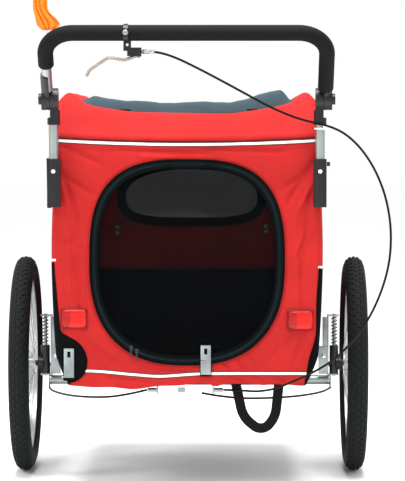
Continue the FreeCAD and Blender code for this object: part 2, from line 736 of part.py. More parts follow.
def make_stubs():
    """The stub tubes with the inner halves of the ratchets."""
    pieces = []
    for _, side in SIDES:
        low, high = "(socket_low + 4)", "812"
        tube = hollow_rod("z", "stub_radius", "tube_wall", f"{high} - {low}",
                          [socket_x(side), "-socket_back", f"({high} + {low}) / 2"])
        disc = rod("x", "ratchet_radius", "17", [f"{side} * 288.5", "-socket_back", "ratchet_height"])
        neck = block(("17", "30", "42"), [f"{side} * 288.5", "-socket_back", "833.5"])
        collar = rod("z", "14", "32", [socket_x(side), "-socket_back", "823"])
        seat = rod("z", "stub_radius", "20", [socket_x(side), "-socket_back", "802"])
        limit = block(("40", "80", "90"), [f"{side} * (297.3 + 20)", "-socket_back", "ratchet_height + 5"])
        pieces += [tube, cut(join(disc, neck, collar), seat, limit)]
    subpart("stub_tubes", *pieces)


def handle_frame_point(x, outward):
    """A point of the handle's own plane: x across, outward from the tilt axis."""
    lean = math.radians(SIZE["handle_lean"])
    return (x, -SIZE["socket_back"] - outward * math.sin(lean), SIZE["ratchet_height"] + outward * math.cos(lean))


def handle_path(start, end=None):
    """The handle's path from a distance up the left leg to a distance up the right one, if not the same."""
    x, reach = SIZE["handle_gauge"] / 2, SIZE["handle_reach"]
    return [handle_frame_point(-x, start), handle_frame_point(-x, reach),
            handle_frame_point(x, reach), handle_frame_point(x, start if end is None else end)]


def make_handle():
    """The bent tube, its foam grip and the outer halves of the ratchets."""
    bends = [SIZE["handle_bend"]] * 2
    tube_radius = 11.0
    tube = bent_tube(handle_path(30), bends, tube_radius, SIZE["tube_wall"])
    subpart("handle_tube", feature(tube))
    lean = math.radians(SIZE["handle_lean"])
    heading = Vector(0, -math.sin(lean), math.cos(lean))
    grip_wire = bent_wire(handle_path(104, 34), bends)
    over_sleeve = Part.makeCylinder(14.55, 60, Vector(*handle_frame_point(SIZE["handle_gauge"] / 2, 14.1)), heading)
    grip = swept(grip_wire, SIZE["grip_radius"]).cut(swept(grip_wire, tube_radius)).cut(over_sleeve)
    subpart("handle_grip", feature(grip))
    pieces = []
    for _, side in SIDES:
        inner_face = 297.7
        disc = Part.makeCylinder(SIZE["ratchet_radius"], 18, Vector(side * inner_face, -SIZE["socket_back"],
                                 SIZE["ratchet_height"]), Vector(side, 0, 0))
        start = Vector(*handle_frame_point(side * SIZE["handle_gauge"] / 2, 8))
        sleeve = Part.makeCylinder(14.5, 66, start, heading)
        seat = Part.makeCylinder(tube_radius, 66, Vector(*handle_frame_point(side * SIZE["handle_gauge"] / 2, 30)),
                                 heading)
        recess = Part.makeCylinder(12.4, 8, Vector(side * (inner_face + 10), -SIZE["socket_back"],
                                   SIZE["ratchet_height"]), Vector(side, 0, 0))
        trim = span((-inner_face, -900, 600), (inner_face, 0, 960))
        pieces.append(feature(disc.fuse(sleeve).cut(seat).cut(trim).cut(recess).removeSplitter()))
    subpart("upper_ratchets", *pieces)


def make_ratchet_button(name, side):
    """The button that frees a ratchet, in the outer housing's recess."""
    inner_face = 297.7 + 10
    button = rod("x", "12", "9", [f"{side} * ({inner_face} + 6 + 4.5)", "-socket_back", "ratchet_height"])
    subpart(f"{name}_ratchet_button", button)


def make_brake_control():
    """The clamp under the crossbar, and the lever on its pivot."""
    bar = handle_frame_point(0, SIZE["handle_reach"])
    around = rod("x", "19.5", "10", ["-127", str(bar[1]), str(bar[2])])
    hole = rod("x", "grip_radius", "90", ["-127", str(bar[1]), str(bar[2])])
    neck = block(("16", "14", "22"), ["-124", str(bar[1]), str(bar[2] - 27)])
    arm = block(("30", "14", "18"), ["-109", str(bar[1]), str(bar[2] - 40)])
    stop = rod("x", "4.5", "16", ["-92", str(bar[1]), "962"])
    wire_hole = rod("x", "1.2", "60", ["-92", str(bar[1]), "962"])
    knob = rod("y", "8.5", "14", ["-127", str(bar[1] - 24.5), str(bar[2])])
    eyelet = rod("y", "3", "30", ["-124", str(bar[1]), str(bar[2] - 25)])
    slot = block(("70", "8", "34"), ["-127", str(bar[1]), str(bar[2] - 50)])
    subpart("brake_clamp", cut(join(around, neck, arm, stop, knob), hole, wire_hole, slot, eyelet))
    pivot = Vector(SIZE["lever_pivot"] - 6, bar[1], 955)
    tip = Vector(-211, bar[1], 910)
    route = [tuple(pivot), (-130, bar[1], 944), (-164, bar[1], 950), (-203, bar[1], 924), tuple(tip)]
    blade = swept(bent_wire(route, [14, 16, 5]), 3.3)
    eye = Part.makeCylinder(6, 7.2, pivot - Vector(0, 3.6, 0), Vector(0, 1, 0))
    subpart("brake_lever", feature(blade.fuse(eye)))


# ---------------------------------------------------------------- tow bar and flag

def make_receiver():
    """The tube under the floor's left front that the tow bar slides into."""
    centre = ["tow_offset", "272", "tow_height"]
    tube = hollow_rod("y", "tow_radius + 3.1", "3", "236", centre)
    subpart("tow_bar_receiver", tube)


def make_tow_bar():
    """The bar, bent inward towards the towing bicycle and rising to its axle."""
    x, z = SIZE["tow_offset"], SIZE["tow_height"]
    points = [(x, 160, z), (x, 560, z), (x + 66, 880, z + 34), (x + 128, 1120, z + 74)]
    bar = bent_tube(points, [160, 200], SIZE["tow_radius"], 2.0)
    subpart("tow_bar", feature(bar))
    tip = Vector(*points[-1])
    heading = (Vector(*points[-1]) - Vector(*points[-2])).normalize()
    joint = Part.makeCylinder(11, 34, tip + heading * 0.4, heading)
    centre = tip + heading * 62
    block_shape = span((-14, -29, -17), (14, 29, 17))
    slot = span((-20, -4, -5.5), (20, 40, 5.5))
    pin_hole = Part.makeCylinder(4.2, 60, Vector(0, 18, -30), Vector(0, 0, 1))
    head = block_shape.cut(slot).cut(pin_hole)
    head.translate(centre)
    head = head.fuse(joint).removeSplitter()
    subpart("hitch_head", feature(head))
    pin = Part.makeCylinder(4.1, 44, centre + Vector(0, 18, -22), Vector(0, 0, 1))
    cap = Part.makeCylinder(7, 4, centre + Vector(0, 18, 22), Vector(0, 0, 1))
    subpart("hitch_pin", feature(pin.fuse(cap).removeSplitter()))
    print("tow bar tip", tip, "heading", heading, "hitch centre", centre)


POLE_FOOT = Vector(-304.4, -335, 630)
POLE_TOP = Vector(-316, -335, 1420)


def make_flag():
    """A sleeve at the left rear corner, the pole in it and the pennant at its top."""
    heading = (POLE_TOP - POLE_FOOT).normalize()
    length = POLE_FOOT.distanceToPoint(POLE_TOP)
    radius = SIZE["pole_radius"]
    sleeve = Part.makeCylinder(radius + 1.8, 110, POLE_FOOT - heading * 6, heading)
    sleeve = sleeve.cut(Part.makeCylinder(radius + 0.3, 120, POLE_FOOT, heading))
    subpart("flag_sleeve", feature(sleeve))
    subpart("flag_pole", feature(Part.makeCylinder(radius, length, POLE_FOOT + heading * 0.3, heading)))
    low = POLE_FOOT + heading * (length - 400)
    high = POLE_TOP - heading * 6
    right = Vector(radius + 0.6, 0, 0)
    tip = Vector(-283, -335, 1018)
    outline = [low + right + Vector(0, 0, -6), tip, low + Vector(26, 0, 60), high + Vector(22, 0, 0), high + right]
    face = Part.Face(Part.makePolygon(outline + outline[:1]))
    face.translate(Vector(0, -0.5, 0))
    subpart("flag", feature(face.extrude(Vector(0, 1.0, 0))))


# ---------------------------------------------------------------- build and write

def build():
    """Make every sub-part."""
    fill_sheet()
    for name, side in SIDES:
        make_tyre(name, side)
        make_rim(name, side)
        make_spokes(name, side)
        make_hub(name, side)
        make_axle_carrier(name, side)
        make_spring(name, side)
        make_brake_arm(name, side)
        make_socket_pin(name, side)
        make_ratchet_button(name, side)
    make_wheel_reflector()
    make_suspension_brackets()
    make_cable_anchors()
    make_brake_yoke()
    make_cables()
    make_floor_frame()
    make_cross_tube()
    make_upper_frame()
    make_frame_joints()
    make_covers()
    make_rear_door()
    make_floor_pad()
    make_rear_brackets()
    make_bolts()
    make_reflectors()
    make_pull_strap()
    make_handle_sockets()
    make_socket_lever()
    make_stubs()
    make_handle()
    make_brake_control()
    make_receiver()
    make_tow_bar()
    make_flag()
    doc.recompute()


def write():
    """Check every object, then write one file for each sub-part."""
    broken = [item.Name for item in doc.Objects if "Invalid" in item.State or "Error" in item.State]
    broken += [item.Label for item in SUBPARTS if item.Shape.isNull() or not item.Shape.isValid()]
    if broken:
        raise RuntimeError("failed objects: " + ", ".join(broken))
    os.makedirs("parts", exist_ok=True)
    for item in SUBPARTS:
        item.Shape.exportStep(f"parts/{item.Label}.step")
    whole = Part.makeCompound([item.Shape for item in SUBPARTS]).BoundBox
    print(len(SUBPARTS), "sub-parts", whole)


build()
write()
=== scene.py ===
"""The looks of a two-wheeled bicycle trailer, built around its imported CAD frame. Metres; y is measured from
the wheel axle until at() moves a point into the frame."""
import math

import bmesh
import bpy
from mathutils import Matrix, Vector, noise


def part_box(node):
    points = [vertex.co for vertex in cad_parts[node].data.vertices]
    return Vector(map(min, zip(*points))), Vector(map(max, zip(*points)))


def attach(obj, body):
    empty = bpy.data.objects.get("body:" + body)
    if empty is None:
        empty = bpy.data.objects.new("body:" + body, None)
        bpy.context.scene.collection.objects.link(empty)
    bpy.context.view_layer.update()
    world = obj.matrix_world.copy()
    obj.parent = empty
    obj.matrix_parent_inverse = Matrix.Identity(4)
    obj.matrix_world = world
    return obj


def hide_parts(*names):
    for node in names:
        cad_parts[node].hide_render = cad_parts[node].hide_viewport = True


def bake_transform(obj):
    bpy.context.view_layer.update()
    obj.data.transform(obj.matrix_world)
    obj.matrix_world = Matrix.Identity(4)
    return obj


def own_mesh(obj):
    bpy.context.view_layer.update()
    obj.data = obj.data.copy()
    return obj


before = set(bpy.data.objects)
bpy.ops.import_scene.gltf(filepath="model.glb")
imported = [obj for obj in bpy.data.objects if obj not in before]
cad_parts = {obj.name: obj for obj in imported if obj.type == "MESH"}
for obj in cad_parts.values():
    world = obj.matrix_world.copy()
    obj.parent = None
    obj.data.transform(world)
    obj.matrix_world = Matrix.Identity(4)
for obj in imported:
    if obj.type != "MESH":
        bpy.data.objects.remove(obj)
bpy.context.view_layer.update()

AXLE = sum(corner.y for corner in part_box("axle_cross_tube")) / 2
REAR = -0.380            # the rear wall
FRONT = 0.380            # the front wall
FRONT_BEND = 0.560       # where the front wall starts to lean back, and the side windows' middle
FRONT_RISE = 2.918       # its rise over its run above that
SIDE_TOP = 0.2885        # half the cabin's width at the belt
PANE_MIDDLE = -0.010     # middle of the side windows along the cabin
PANE_POWER = 4.5         # squareness of the side windows
LENS_MIDDLE = 0.630      # height of the front window's middle
BELT = 0.774             # the seam under the roof
FLOOR_LEVEL = 0.236      # underside of the cabin


def at(x, y, z):
    """A point given from the axle, in the frame."""
    return Vector((x, y + AXLE, z))


# ------------------------------------------------------------------ materials

def node_tree(name, colour, roughness, metallic=0.0):
    """A material with a Principled shader, its constants on the shader's own sockets."""
    made = bpy.data.materials.new(name)
    made.use_nodes = True
    shader = made.node_tree.nodes["Principled BSDF"]
    shader.inputs["Base Color"].default_value = (*colour, 1)
    shader.inputs["Roughness"].default_value = roughness
    shader.inputs["Metallic"].default_value = metallic
    return made, made.node_tree.nodes, made.node_tree.links, shader


def varied_colour(nodes, links, shader, colour, spread, scale, coords):
    """Colour that drifts a little over the surface."""
    drift = nodes.new("ShaderNodeTexNoise")
    drift.inputs["Scale"].default_value = scale
    drift.inputs["Detail"].default_value = 4
    ramp = nodes.new("ShaderNodeValToRGB")
    ramp.color_ramp.elements[0].position = 0.32
    ramp.color_ramp.elements[1].position = 0.68
    ramp.color_ramp.elements[0].color = (*[c * (1 - spread) for c in colour], 1)
    ramp.color_ramp.elements[1].color = (*[min(1, c * (1 + spread)) for c in colour], 1)
    links.new(coords, drift.inputs["Vector"])
    links.new(drift.outputs["Fac"], ramp.inputs["Fac"])
    links.new(ramp.outputs["Color"], shader.inputs["Base Color"])


def bumped(nodes, links, shader, heights, distance, strength):
    """Bump from several height textures added together."""
    total = heights[0]
    for height in heights[1:]:
        add = nodes.new("ShaderNodeMath")
        add.operation = "ADD"
        links.new(total, add.inputs[0])
        links.new(height, add.inputs[1])
        total = add.outputs[0]
    bump = nodes.new("ShaderNodeBump")
    bump.inputs["Distance"].default_value = distance
    bump.inputs["Strength"].default_value = strength
    links.new(total, bump.inputs["Height"])
    links.new(bump.outputs["Normal"], shader.inputs["Normal"])


def woven(name, colour, roughness=0.75, pitch=0.0014, spread=0.12, crumple=0.35, sheen=0.1, alpha=1.0,
          shine=0.4):
    """Coated cloth: threads in two directions, a slight crumple and a soft sheen."""
    made, nodes, links, shader = node_tree(name, colour, roughness)
    shader.inputs["Sheen Weight"].default_value = sheen
    shader.inputs["Specular IOR Level"].default_value = shine
    shader.inputs["Sheen Roughness"].default_value = 0.5
    shader.inputs["Alpha"].default_value = alpha
    coords = nodes.new("ShaderNodeTexCoord").outputs["Object"]
    varied_colour(nodes, links, shader, colour, spread, 9.0, coords)
    heights = []
    for direction in ("X", "Z"):
        threads = nodes.new("ShaderNodeTexWave")
        threads.bands_direction = direction
        threads.inputs["Scale"].default_value = 0.31 / pitch
        threads.inputs["Distortion"].default_value = 0.6
        links.new(coords, threads.inputs["Vector"])
        heights.append(threads.outputs["Fac"])
    folds = nodes.new("ShaderNodeTexNoise")
    folds.inputs["Scale"].default_value = 26.0
    folds.inputs["Detail"].default_value = 5
    links.new(coords, folds.inputs["Vector"])
    gain = nodes.new("ShaderNodeMath")
    gain.operation = "MULTIPLY"
    gain.inputs[1].default_value = 14.0 * crumple
    links.new(folds.outputs["Fac"], gain.inputs[0])
    bumped(nodes, links, shader, heights + [gain.outputs[0]], 0.0004, 0.5)
    return made


def moulded(name, colour, roughness=0.45, grain=900.0, distance=0.00008, shine=0.5):
    """Moulded plastic, rubber, foam or painted metal with a fine grain."""
    made, nodes, links, shader = node_tree(name, colour, roughness)
    shader.inputs["Specular IOR Level"].default_value = shine
    coords = nodes.new("ShaderNodeTexCoord").outputs["Object"]
    varied_colour(nodes, links, shader, colour, 0.06, 14.0, coords)
    fine = nodes.new("ShaderNodeTexNoise")
    fine.inputs["Scale"].default_value = grain
    links.new(coords, fine.inputs["Vector"])
    bumped(nodes, links, shader, [fine.outputs["Fac"]], distance, 0.6)
    return made


def brushed(name, colour, roughness, spread=0.08, direction=(1.0, 1.0, 40.0)):
    """Bare metal with drawn marks and patches of rougher surface."""
    made, nodes, links, shader = node_tree(name, colour, roughness, 1.0)
    source = nodes.new("ShaderNodeTexCoord").outputs["Object"]
    varied_colour(nodes, links, shader, colour, spread, 18.0, source)
    stretch = nodes.new("ShaderNodeMapping")
    stretch.inputs["Scale"].default_value = direction
    links.new(source, stretch.inputs["Vector"])
    marks = nodes.new("ShaderNodeTexNoise")
    marks.inputs["Scale"].default_value = 30.0
    marks.inputs["Detail"].default_value = 6
    links.new(stretch.outputs["Vector"], marks.inputs["Vector"])
    rough = nodes.new("ShaderNodeMapRange")
    rough.inputs["To Min"].default_value = max(0.05, roughness - 0.08)
    rough.inputs["To Max"].default_value = roughness + 0.12
    links.new(marks.outputs["Fac"], rough.inputs["Value"])
    links.new(rough.outputs["Result"], shader.inputs["Roughness"])
    return made


def clear_film(name, colour, alpha):
    """Soft clear vinyl with slight waves."""
    made, nodes, links, shader = node_tree(name, colour, 0.18)
    shader.inputs["Alpha"].default_value = alpha
    shader.inputs["Coat Weight"].default_value = 0.4
    coords = nodes.new("ShaderNodeTexCoord").outputs["Object"]
    waves = nodes.new("ShaderNodeTexNoise")
    waves.inputs["Scale"].default_value = 12.0
    links.new(coords, waves.inputs["Vector"])
    bumped(nodes, links, shader, [waves.outputs["Fac"]], 0.002, 0.4)
    return made


def prism_lens(name, colour):
    """A reflector's lens, with small cells under a glossy face."""
    made, nodes, links, shader = node_tree(name, colour, 0.12)
    shader.inputs["Coat Weight"].default_value = 0.12
    shader.inputs["Specular IOR Level"].default_value = 0.25
    coords = nodes.new("ShaderNodeTexCoord").outputs["Object"]
    varied_colour(nodes, links, shader, colour, 0.3, 60.0, coords)
    cell = nodes.new("ShaderNodeTexVoronoi")
    cell.inputs["Scale"].default_value = 220.0
    cell.inputs["Randomness"].default_value = 0.0
    links.new(coords, cell.inputs["Vector"])
    bumped(nodes, links, shader, [cell.outputs["Distance"]], 0.001, 0.9)
    return made


RED = woven("red_cloth", (0.360, 0.0125, 0.0115), roughness=0.7, crumple=0.5, sheen=0.0, shine=0.12)
# The same red cloth painted much lighter: painted light standing in for the light inside the shaded cabin,
# used on the front wall's inner faces and the bar sleeve.
RED_PAINTED_LIGHT_INSIDE = woven("red_cloth_inside_painted_light", (0.95, 0.045, 0.045), roughness=0.8, crumple=0.5, sheen=0.0, shine=0.05)
BLACK_CLOTH = woven("black_cloth", (0.0022, 0.0026, 0.003), roughness=0.9, sheen=0.0, shine=0.05)
LINING = woven("dark_lining", (0.004, 0.004, 0.0045), roughness=0.85, sheen=0.0, shine=0.1)
SLATE = woven("slate_cloth", (0.024, 0.048, 0.060), roughness=0.7, crumple=0.6, sheen=0.0, shine=0.25)
ORANGE = woven("orange_cloth", (0.95, 0.17, 0.010), roughness=0.6, pitch=0.0008, sheen=0.0, shine=0.2)
MESH = woven("black_mesh", (0.002, 0.0025, 0.003), roughness=0.9, alpha=0.38, sheen=0.0, shine=0.05)
TAPE = woven("zip_tape", (0.002, 0.007, 0.0075), roughness=0.9, pitch=0.0009, sheen=0.0, shine=0.06)
PIPING = woven("black_piping", (0.001, 0.001, 0.0015), roughness=0.8, sheen=0.0, shine=0.05)
WEBBING = woven("webbing", (0.002, 0.002, 0.002), roughness=0.75, pitch=0.0022, sheen=0.0, shine=0.15)
REFLECTIVE = woven("reflective_tape", (0.80, 0.73, 0.66), roughness=0.32, pitch=0.0018, crumple=0.2)
GREY_EDGE = woven("grey_edge", (0.050, 0.030, 0.032), roughness=0.7, shine=0.2)
FOAM = moulded("black_foam", (0.003, 0.0035, 0.0035), roughness=0.8, grain=700.0, distance=0.0003, shine=0.15)
PLASTIC = moulded("black_plastic", (0.004, 0.004, 0.005), roughness=0.4, shine=0.35)
WHITE = moulded("white_plastic", (0.78, 0.78, 0.75), roughness=0.4)
TYRE = moulded("tyre_rubber", (0.005, 0.0065, 0.007), roughness=0.8, grain=400.0, distance=0.0003, shine=0.2)
JACKET = moulded("cable_jacket", (0.0015, 0.0015, 0.0015), roughness=0.45, grain=300.0, shine=0.12)
BLACK_STEEL = moulded("black_steel", (0.006, 0.006, 0.007), roughness=0.35, grain=500.0, shine=0.4)
GLASS_FIBRE = moulded("glass_fibre", (0.70, 0.70, 0.66), roughness=0.4)
TUBE = brushed("anodised_tube", (0.34, 0.38, 0.37), 0.36)
ZINC = brushed("zinc_steel", (0.30, 0.33, 0.33), 0.42, spread=0.3)
BRIGHT = brushed("bright_steel", (0.50, 0.52, 0.53), 0.22)
RIM = brushed("rim_alloy", (0.50, 0.52, 0.53), 0.3, direction=(40.0, 1.0, 1.0))
LEVER = brushed("lever_alloy", (0.30, 0.25, 0.21), 0.4, spread=0.3)
FILM = clear_film("clear_film", (0.060, 0.072, 0.062), 0.80)
RED_LENS = prism_lens("red_lens", (0.62, 0.0035, 0.0015))
# A darker copy of the lens colour: painted shade for the side of the lens that faces away from the light.
LENS_PAINTED_SHADE = prism_lens("red_lens_painted_shade", (0.30, 0.002, 0.0015))
DARK_RED = moulded("reflector_base", (0.13, 0.002, 0.002), roughness=0.35, shine=0.2)
AMBER_LENS = prism_lens("amber_lens", (0.85, 0.22, 0.02))

CAD_LOOKS = {
    TUBE: ("axle_cross_tube", "floor_frame", "upper_frame", "stub_tubes", "handle_tube"),
    PLASTIC: ("frame_joints", "handle_sockets", "socket_lever", "upper_ratchets", "left_ratchet_button",
              "right_ratchet_button", "brake_clamp", "hitch_head", "flag_sleeve"),
    BLACK_STEEL: ("left_axle_carrier", "right_axle_carrier", "left_brake_arm", "right_brake_arm"),
    ZINC: ("rear_brackets", "cable_anchors", "brake_yoke", "bracket_bolts", "tow_bar", "tow_bar_receiver"),
    BRIGHT: ("left_spokes", "right_spokes", "hitch_pin"),
    RIM: ("left_rim", "right_rim", "left_hub", "right_hub"),
    WHITE: ("left_socket_pin", "right_socket_pin"),
    FOAM: ("handle_grip",),
    LEVER: ("brake_lever",),
    JACKET: ("underfloor_cables",),
    GLASS_FIBRE: ("flag_pole",),
    WEBBING: ("pull_strap",),
    BLACK_CLOTH: ("floor_panel",),
    AMBER_LENS: ("left_wheel_reflector",),
}


def dress_cad():
    """Give each CAD piece that stays its material."""
    for look, names in CAD_LOOKS.items():
        for name in names:
            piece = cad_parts[name]
            piece.data.materials.clear()
            piece.data.materials.append(look)
            for index in range(len(piece.material_slots)):
                piece.material_slots[index].material = look
    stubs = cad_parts["stub_tubes"]
    stubs.data.materials.append(PLASTIC)
    for face in stubs.data.polygons:
        spot = stubs.matrix_world @ face.center
        face.material_index = 1 if spot.z > 0.8065 else 0


# ------------------------------------------------------------------ mesh helpers

# the corners of each side of a block whose corners 0-3 lie below 4-7; the first side is the bottom
BLOCK_SIDES = ((0, 1, 2, 3), (4, 5, 6, 7), (0, 1, 5, 4), (1, 2, 6, 5), (2, 3, 7, 6), (3, 0, 4, 7))
CORNERS = ((-1, -1), (1, -1), (1, 1), (-1, 1))     # the signs of a rectangle's corners, in order


def mesh_of(name, points, faces):
    """A mesh from points and faces."""
    mesh = bpy.data.meshes.new(name)
    mesh.from_pydata(points, [], faces)
    return mesh


def add_block(points, faces, corners, sides=BLOCK_SIDES):
    """Add a six-sided block, or some of its sides, from its eight corners."""
    start = len(points)
    points += corners
    faces += [tuple(start + k for k in quad) for quad in sides]


def new_object(name, mesh, look, body, slot):
    """A piece in the scene, riding on a body."""
    piece = bpy.data.objects.new(name, mesh)
    bpy.context.scene.collection.objects.link(piece)
    if look is not None:
        piece.data.materials.append(look)
    if body:
        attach(piece, body)
    return piece


def apply_all(piece):
    """Apply a piece's modifiers to its mesh."""
    bpy.context.view_layer.update()
    graph = bpy.context.evaluated_depsgraph_get()
    mesh = bpy.data.meshes.new_from_object(piece.evaluated_get(graph))
    piece.modifiers.clear()
    piece.data = mesh
    for face in mesh.polygons:
        face.use_smooth = True
    return piece


def skinned(name, surface, look, body, slot, thickness=0.002, offset=1.0):
    """A cloth piece: a surface (points and faces) given its thickness."""
    mesh = mesh_of(name, *surface)
    mesh.validate()
    made = bmesh.new()
    made.from_mesh(mesh)
    bmesh.ops.remove_doubles(made, verts=made.verts, dist=1e-5)
    bmesh.ops.recalc_face_normals(made, faces=made.faces)
    made.to_mesh(mesh)
    made.free()
    piece = new_object(name, mesh, look, body, slot)
    thick = piece.modifiers.new("thick", "SOLIDIFY")
    thick.thickness = thickness
    thick.offset = offset
    thick.use_even_offset = False
    return apply_all(piece)


def grid(columns, rows, place, keep=None, wrap=False):
    """Points and faces of a grid; place takes a column and a row from 0 to 1."""
    across = columns if wrap else columns + 1
    points = [place(i / columns, j / rows) for j in range(rows + 1) for i in range(across)]
    faces = []
    for j in range(rows):
        for i in range(columns):
            nxt = (i + 1) % across
            if keep is None or keep((i + 0.5) / columns, (j + 0.5) / rows):
                faces.append((j * across + i, j * across + nxt, (j + 1) * across + nxt, (j + 1) * across + i))
    return points, faces


def tube(name, points, radius, look, body, slot, closed=False, order=3, sides=4):
    """A round bar along a smooth line."""
    curve = bpy.data.curves.new(name, "CURVE")
    curve.dimensions = "3D"
    curve.bevel_depth = radius
    curve.bevel_resolution = sides
    curve.use_fill_caps = not closed
    spline = curve.splines.new("NURBS")
    spline.points.add(len(points) - 1)
    for spot, point in zip(spline.points, points):
        spot.co = (*point, 1)
    spline.order_u = order
    spline.use_cyclic_u = closed
    spline.use_endpoint_u = not closed
    spline.resolution_u = 8
    return new_object(name, curve, look, body, slot)


def as_mesh(piece):
    """Turn a curve piece into a mesh piece of the same name."""
    bpy.context.view_layer.update()
    name = piece.name
    graph = bpy.context.evaluated_depsgraph_get()
    mesh = bpy.data.meshes.new_from_object(piece.evaluated_get(graph))
    made = bpy.data.objects.new(name + "_mesh", mesh)
    bpy.context.scene.collection.objects.link(made)
    bpy.data.objects.remove(piece)
    made.name = name
    for face in mesh.polygons:
        face.use_smooth = True
    return made


def trim_line(name, points, radius, look, body, closed=False):
    """A thin round trim along a line, as a mesh."""
    trim = as_mesh(tube(name, points, radius, look, None, None, closed=closed))
    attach(trim, body)


def turned(name, profile, centre, axis, look, body, slot, sides=40):
    """A piece turned on a lathe: profile holds (distance along the axis, radius)."""
    axis = Vector(axis).normalized()
    side = axis.orthogonal().normalized()
    other = axis.cross(side)
    points, faces = [], []
    for along, radius in profile:
        for i in range(sides):
            angle = 2 * math.pi * i / sides
            points.append(centre + axis * along + (side * math.cos(angle) + other * math.sin(angle)) * radius)
    for j in range(len(profile) - 1):
        for i in range(sides):
            nxt = (i + 1) % sides
            faces.append((j * sides + i, j * sides + nxt, (j + 1) * sides + nxt, (j + 1) * sides + i))
    faces.append(tuple(range(sides)))
    faces.append(tuple((len(profile) - 1) * sides + i for i in range(sides)))
    mesh = mesh_of(name, points, faces)
    made = bmesh.new()
    made.from_mesh(mesh)
    bmesh.ops.recalc_face_normals(made, faces=made.faces)
    made.to_mesh(mesh)
    made.free()
    piece = new_object(name, mesh, look, body, slot)
    edge = piece.modifiers.new("edge", "BEVEL")
    edge.width = 0.0006
    edge.segments = 2
    edge.limit_method = "ANGLE"
    return apply_flat(piece)


def apply_flat(piece):
    """Apply modifiers and keep sharp edges sharp."""
    apply_all(piece)
    made = bmesh.new()
    made.from_mesh(piece.data)
    for edge in made.edges:
        if len(edge.link_faces) == 2 and edge.calc_face_angle(0) > math.radians(35):
            edge.smooth = False
    made.to_mesh(piece.data)
    made.free()
    return piece


def slab_piece(name, low, high, look, body, slot, bevel=0.002):
    """A block with rounded edges between two corners."""
    mesh = bpy.data.meshes.new(name)
    made = bmesh.new()
    bmesh.ops.create_cube(made, size=1.0)
    for vertex in made.verts:
        for i in range(3):
            vertex.co[i] = low[i] if vertex.co[i] < 0 else high[i]
    made.to_mesh(mesh)
    made.free()
    piece = new_object(name, mesh, look, body, slot)
    edge = piece.modifiers.new("edge", "BEVEL")
    edge.width = bevel
    edge.segments = 3
    return apply_flat(piece)


def joined(name, pieces):
    """Several mesh pieces of one body made into one."""
    with bpy.context.temp_override(active_object=pieces[0], selected_editable_objects=pieces,
                                   object=pieces[0], selected_objects=pieces):
        bpy.ops.object.join()
    pieces[0].name = name
    return pieces[0]


def smooth_step(low, high, value):
    """0 below low, 1 above high, smooth between."""
    t = min(1.0, max(0.0, (value - low) / (high - low)))
    return t * t * (3 - 2 * t)


def through(points, t):
    """A smooth curve through given points, t from 0 to 1."""
    scaled = t * (len(points) - 1)
    i = min(int(scaled), len(points) - 2)
    f = scaled - i
    before, start = points[max(i - 1, 0)], points[i]
    end, after = points[i + 1], points[min(i + 2, len(points) - 1)]
    return tuple(0.5 * ((2 * b) + (c - a) * f + (2 * a - 5 * b + 4 * c - d) * f * f
                        + (3 * b - a - 3 * c + d) * f ** 3)
                 for a, b, c, d in zip(before, start, end, after))


def level_at(points, x):
    """Height of a smooth curve of (x, height) points at x."""
    xs = [p[0] for p in points]
    x = min(max(x, xs[0]), xs[-1])
    for i in range(len(xs) - 1):
        if x <= xs[i + 1]:
            f = (x - xs[i]) / (xs[i + 1] - xs[i])
            return through(points, (i + f) / (len(points) - 1))[1]
    return points[-1][1]


# ------------------------------------------------------------------ cabin outlines

# (height, half width) of the rear wall
SIDE_LINE = [(0.236, 0.262), (0.262, 0.2745), (0.300, 0.288), (0.400, 0.2945), (0.530, 0.298),
             (0.660, 0.2945), (0.774, 0.2885)]
# (x, height) of the roof's cross section, whole in ROOF_LINE
ROOF_HALF = [(-0.2885, 0.774), (-0.2925, 0.806), (-0.2915, 0.838), (-0.2840, 0.861), (-0.2655, 0.8785),
             (-0.246, 0.8715), (-0.228, 0.8550), (-0.190, 0.8440), (-0.120, 0.8360), (-0.055, 0.8335),
             (0.0, 0.8328)]
ROOF_LINE = ROOF_HALF + [(-x, z) for x, z in reversed(ROOF_HALF[:-1])]
DOOR_HALF = (0.2035, 0.2155)            # half the door's width and height
DOOR_MIDDLE = 0.506                     # height of its middle
UPPER_POWER, LOWER_POWER = 2.9, 2.45    # squareness of its upper and lower corners
HINGE = 0.338            # height of its fold line
BEND = 0.016             # rounding of the cabin's upright corners
CLOTH = 0.0022           # thickness of the covers
VINYL = 0.0006           # thickness of the clear windows
TRIM = 0.0007            # thickness of tapes and tabs sewn on the covers
PATCH_HALF = 0.0125      # half the width of the patches behind the rear plates


def half_width(z):
    """Half the rear wall's width at a height."""
    return level_at(SIDE_LINE, z)


def hem(x):
    """Height of the rear cover's wavy lower edge."""
    return (FLOOR_LEVEL + 0.0028 * math.sin(9.0 * x + 0.6) + 0.0012 * math.sin(61 * x)
            - 0.0060 * math.exp(-((x + 0.13) / 0.07) ** 2) - 0.0040 * math.exp(-((x - 0.07) / 0.012) ** 2))


def belt_at(x):
    """Height of the seam under the roof, sagging a little between the hoops."""
    return BELT - 0.009 * (1 - (x / SIDE_TOP) ** 2)


def oval(turn, wide, high, low, upper_power, lower_power):
    """A point of a squared oval at a share of a turn: its upper half is high, its lower half low."""
    angle = 2 * math.pi * turn
    c, s = math.cos(angle), math.sin(angle)
    power = 2 / (upper_power if s > 0 else lower_power)
    tall = high if s > 0 else low
    return math.copysign(abs(c) ** power, c) * wide, math.copysign(abs(s) ** power, s) * tall


def door_rim(turn, grow=0.0):
    """The rear door's outline at a share of a turn, grown by a distance: squarer above, rounder below."""
    tall = DOOR_HALF[1] + grow
    x, z = oval(turn, DOOR_HALF[0] + grow, tall, tall, UPPER_POWER, LOWER_POWER)
    return x, DOOR_MIDDLE + z


def door_half_width(z, grow=0.0):
    """Half the door's width at a height."""
    share = min(1.0, abs(z - DOOR_MIDDLE) / (DOOR_HALF[1] + grow))
    power = UPPER_POWER if z > DOOR_MIDDLE else LOWER_POWER
    return (DOOR_HALF[0] + grow) * (1 - share ** power) ** (1 / power)


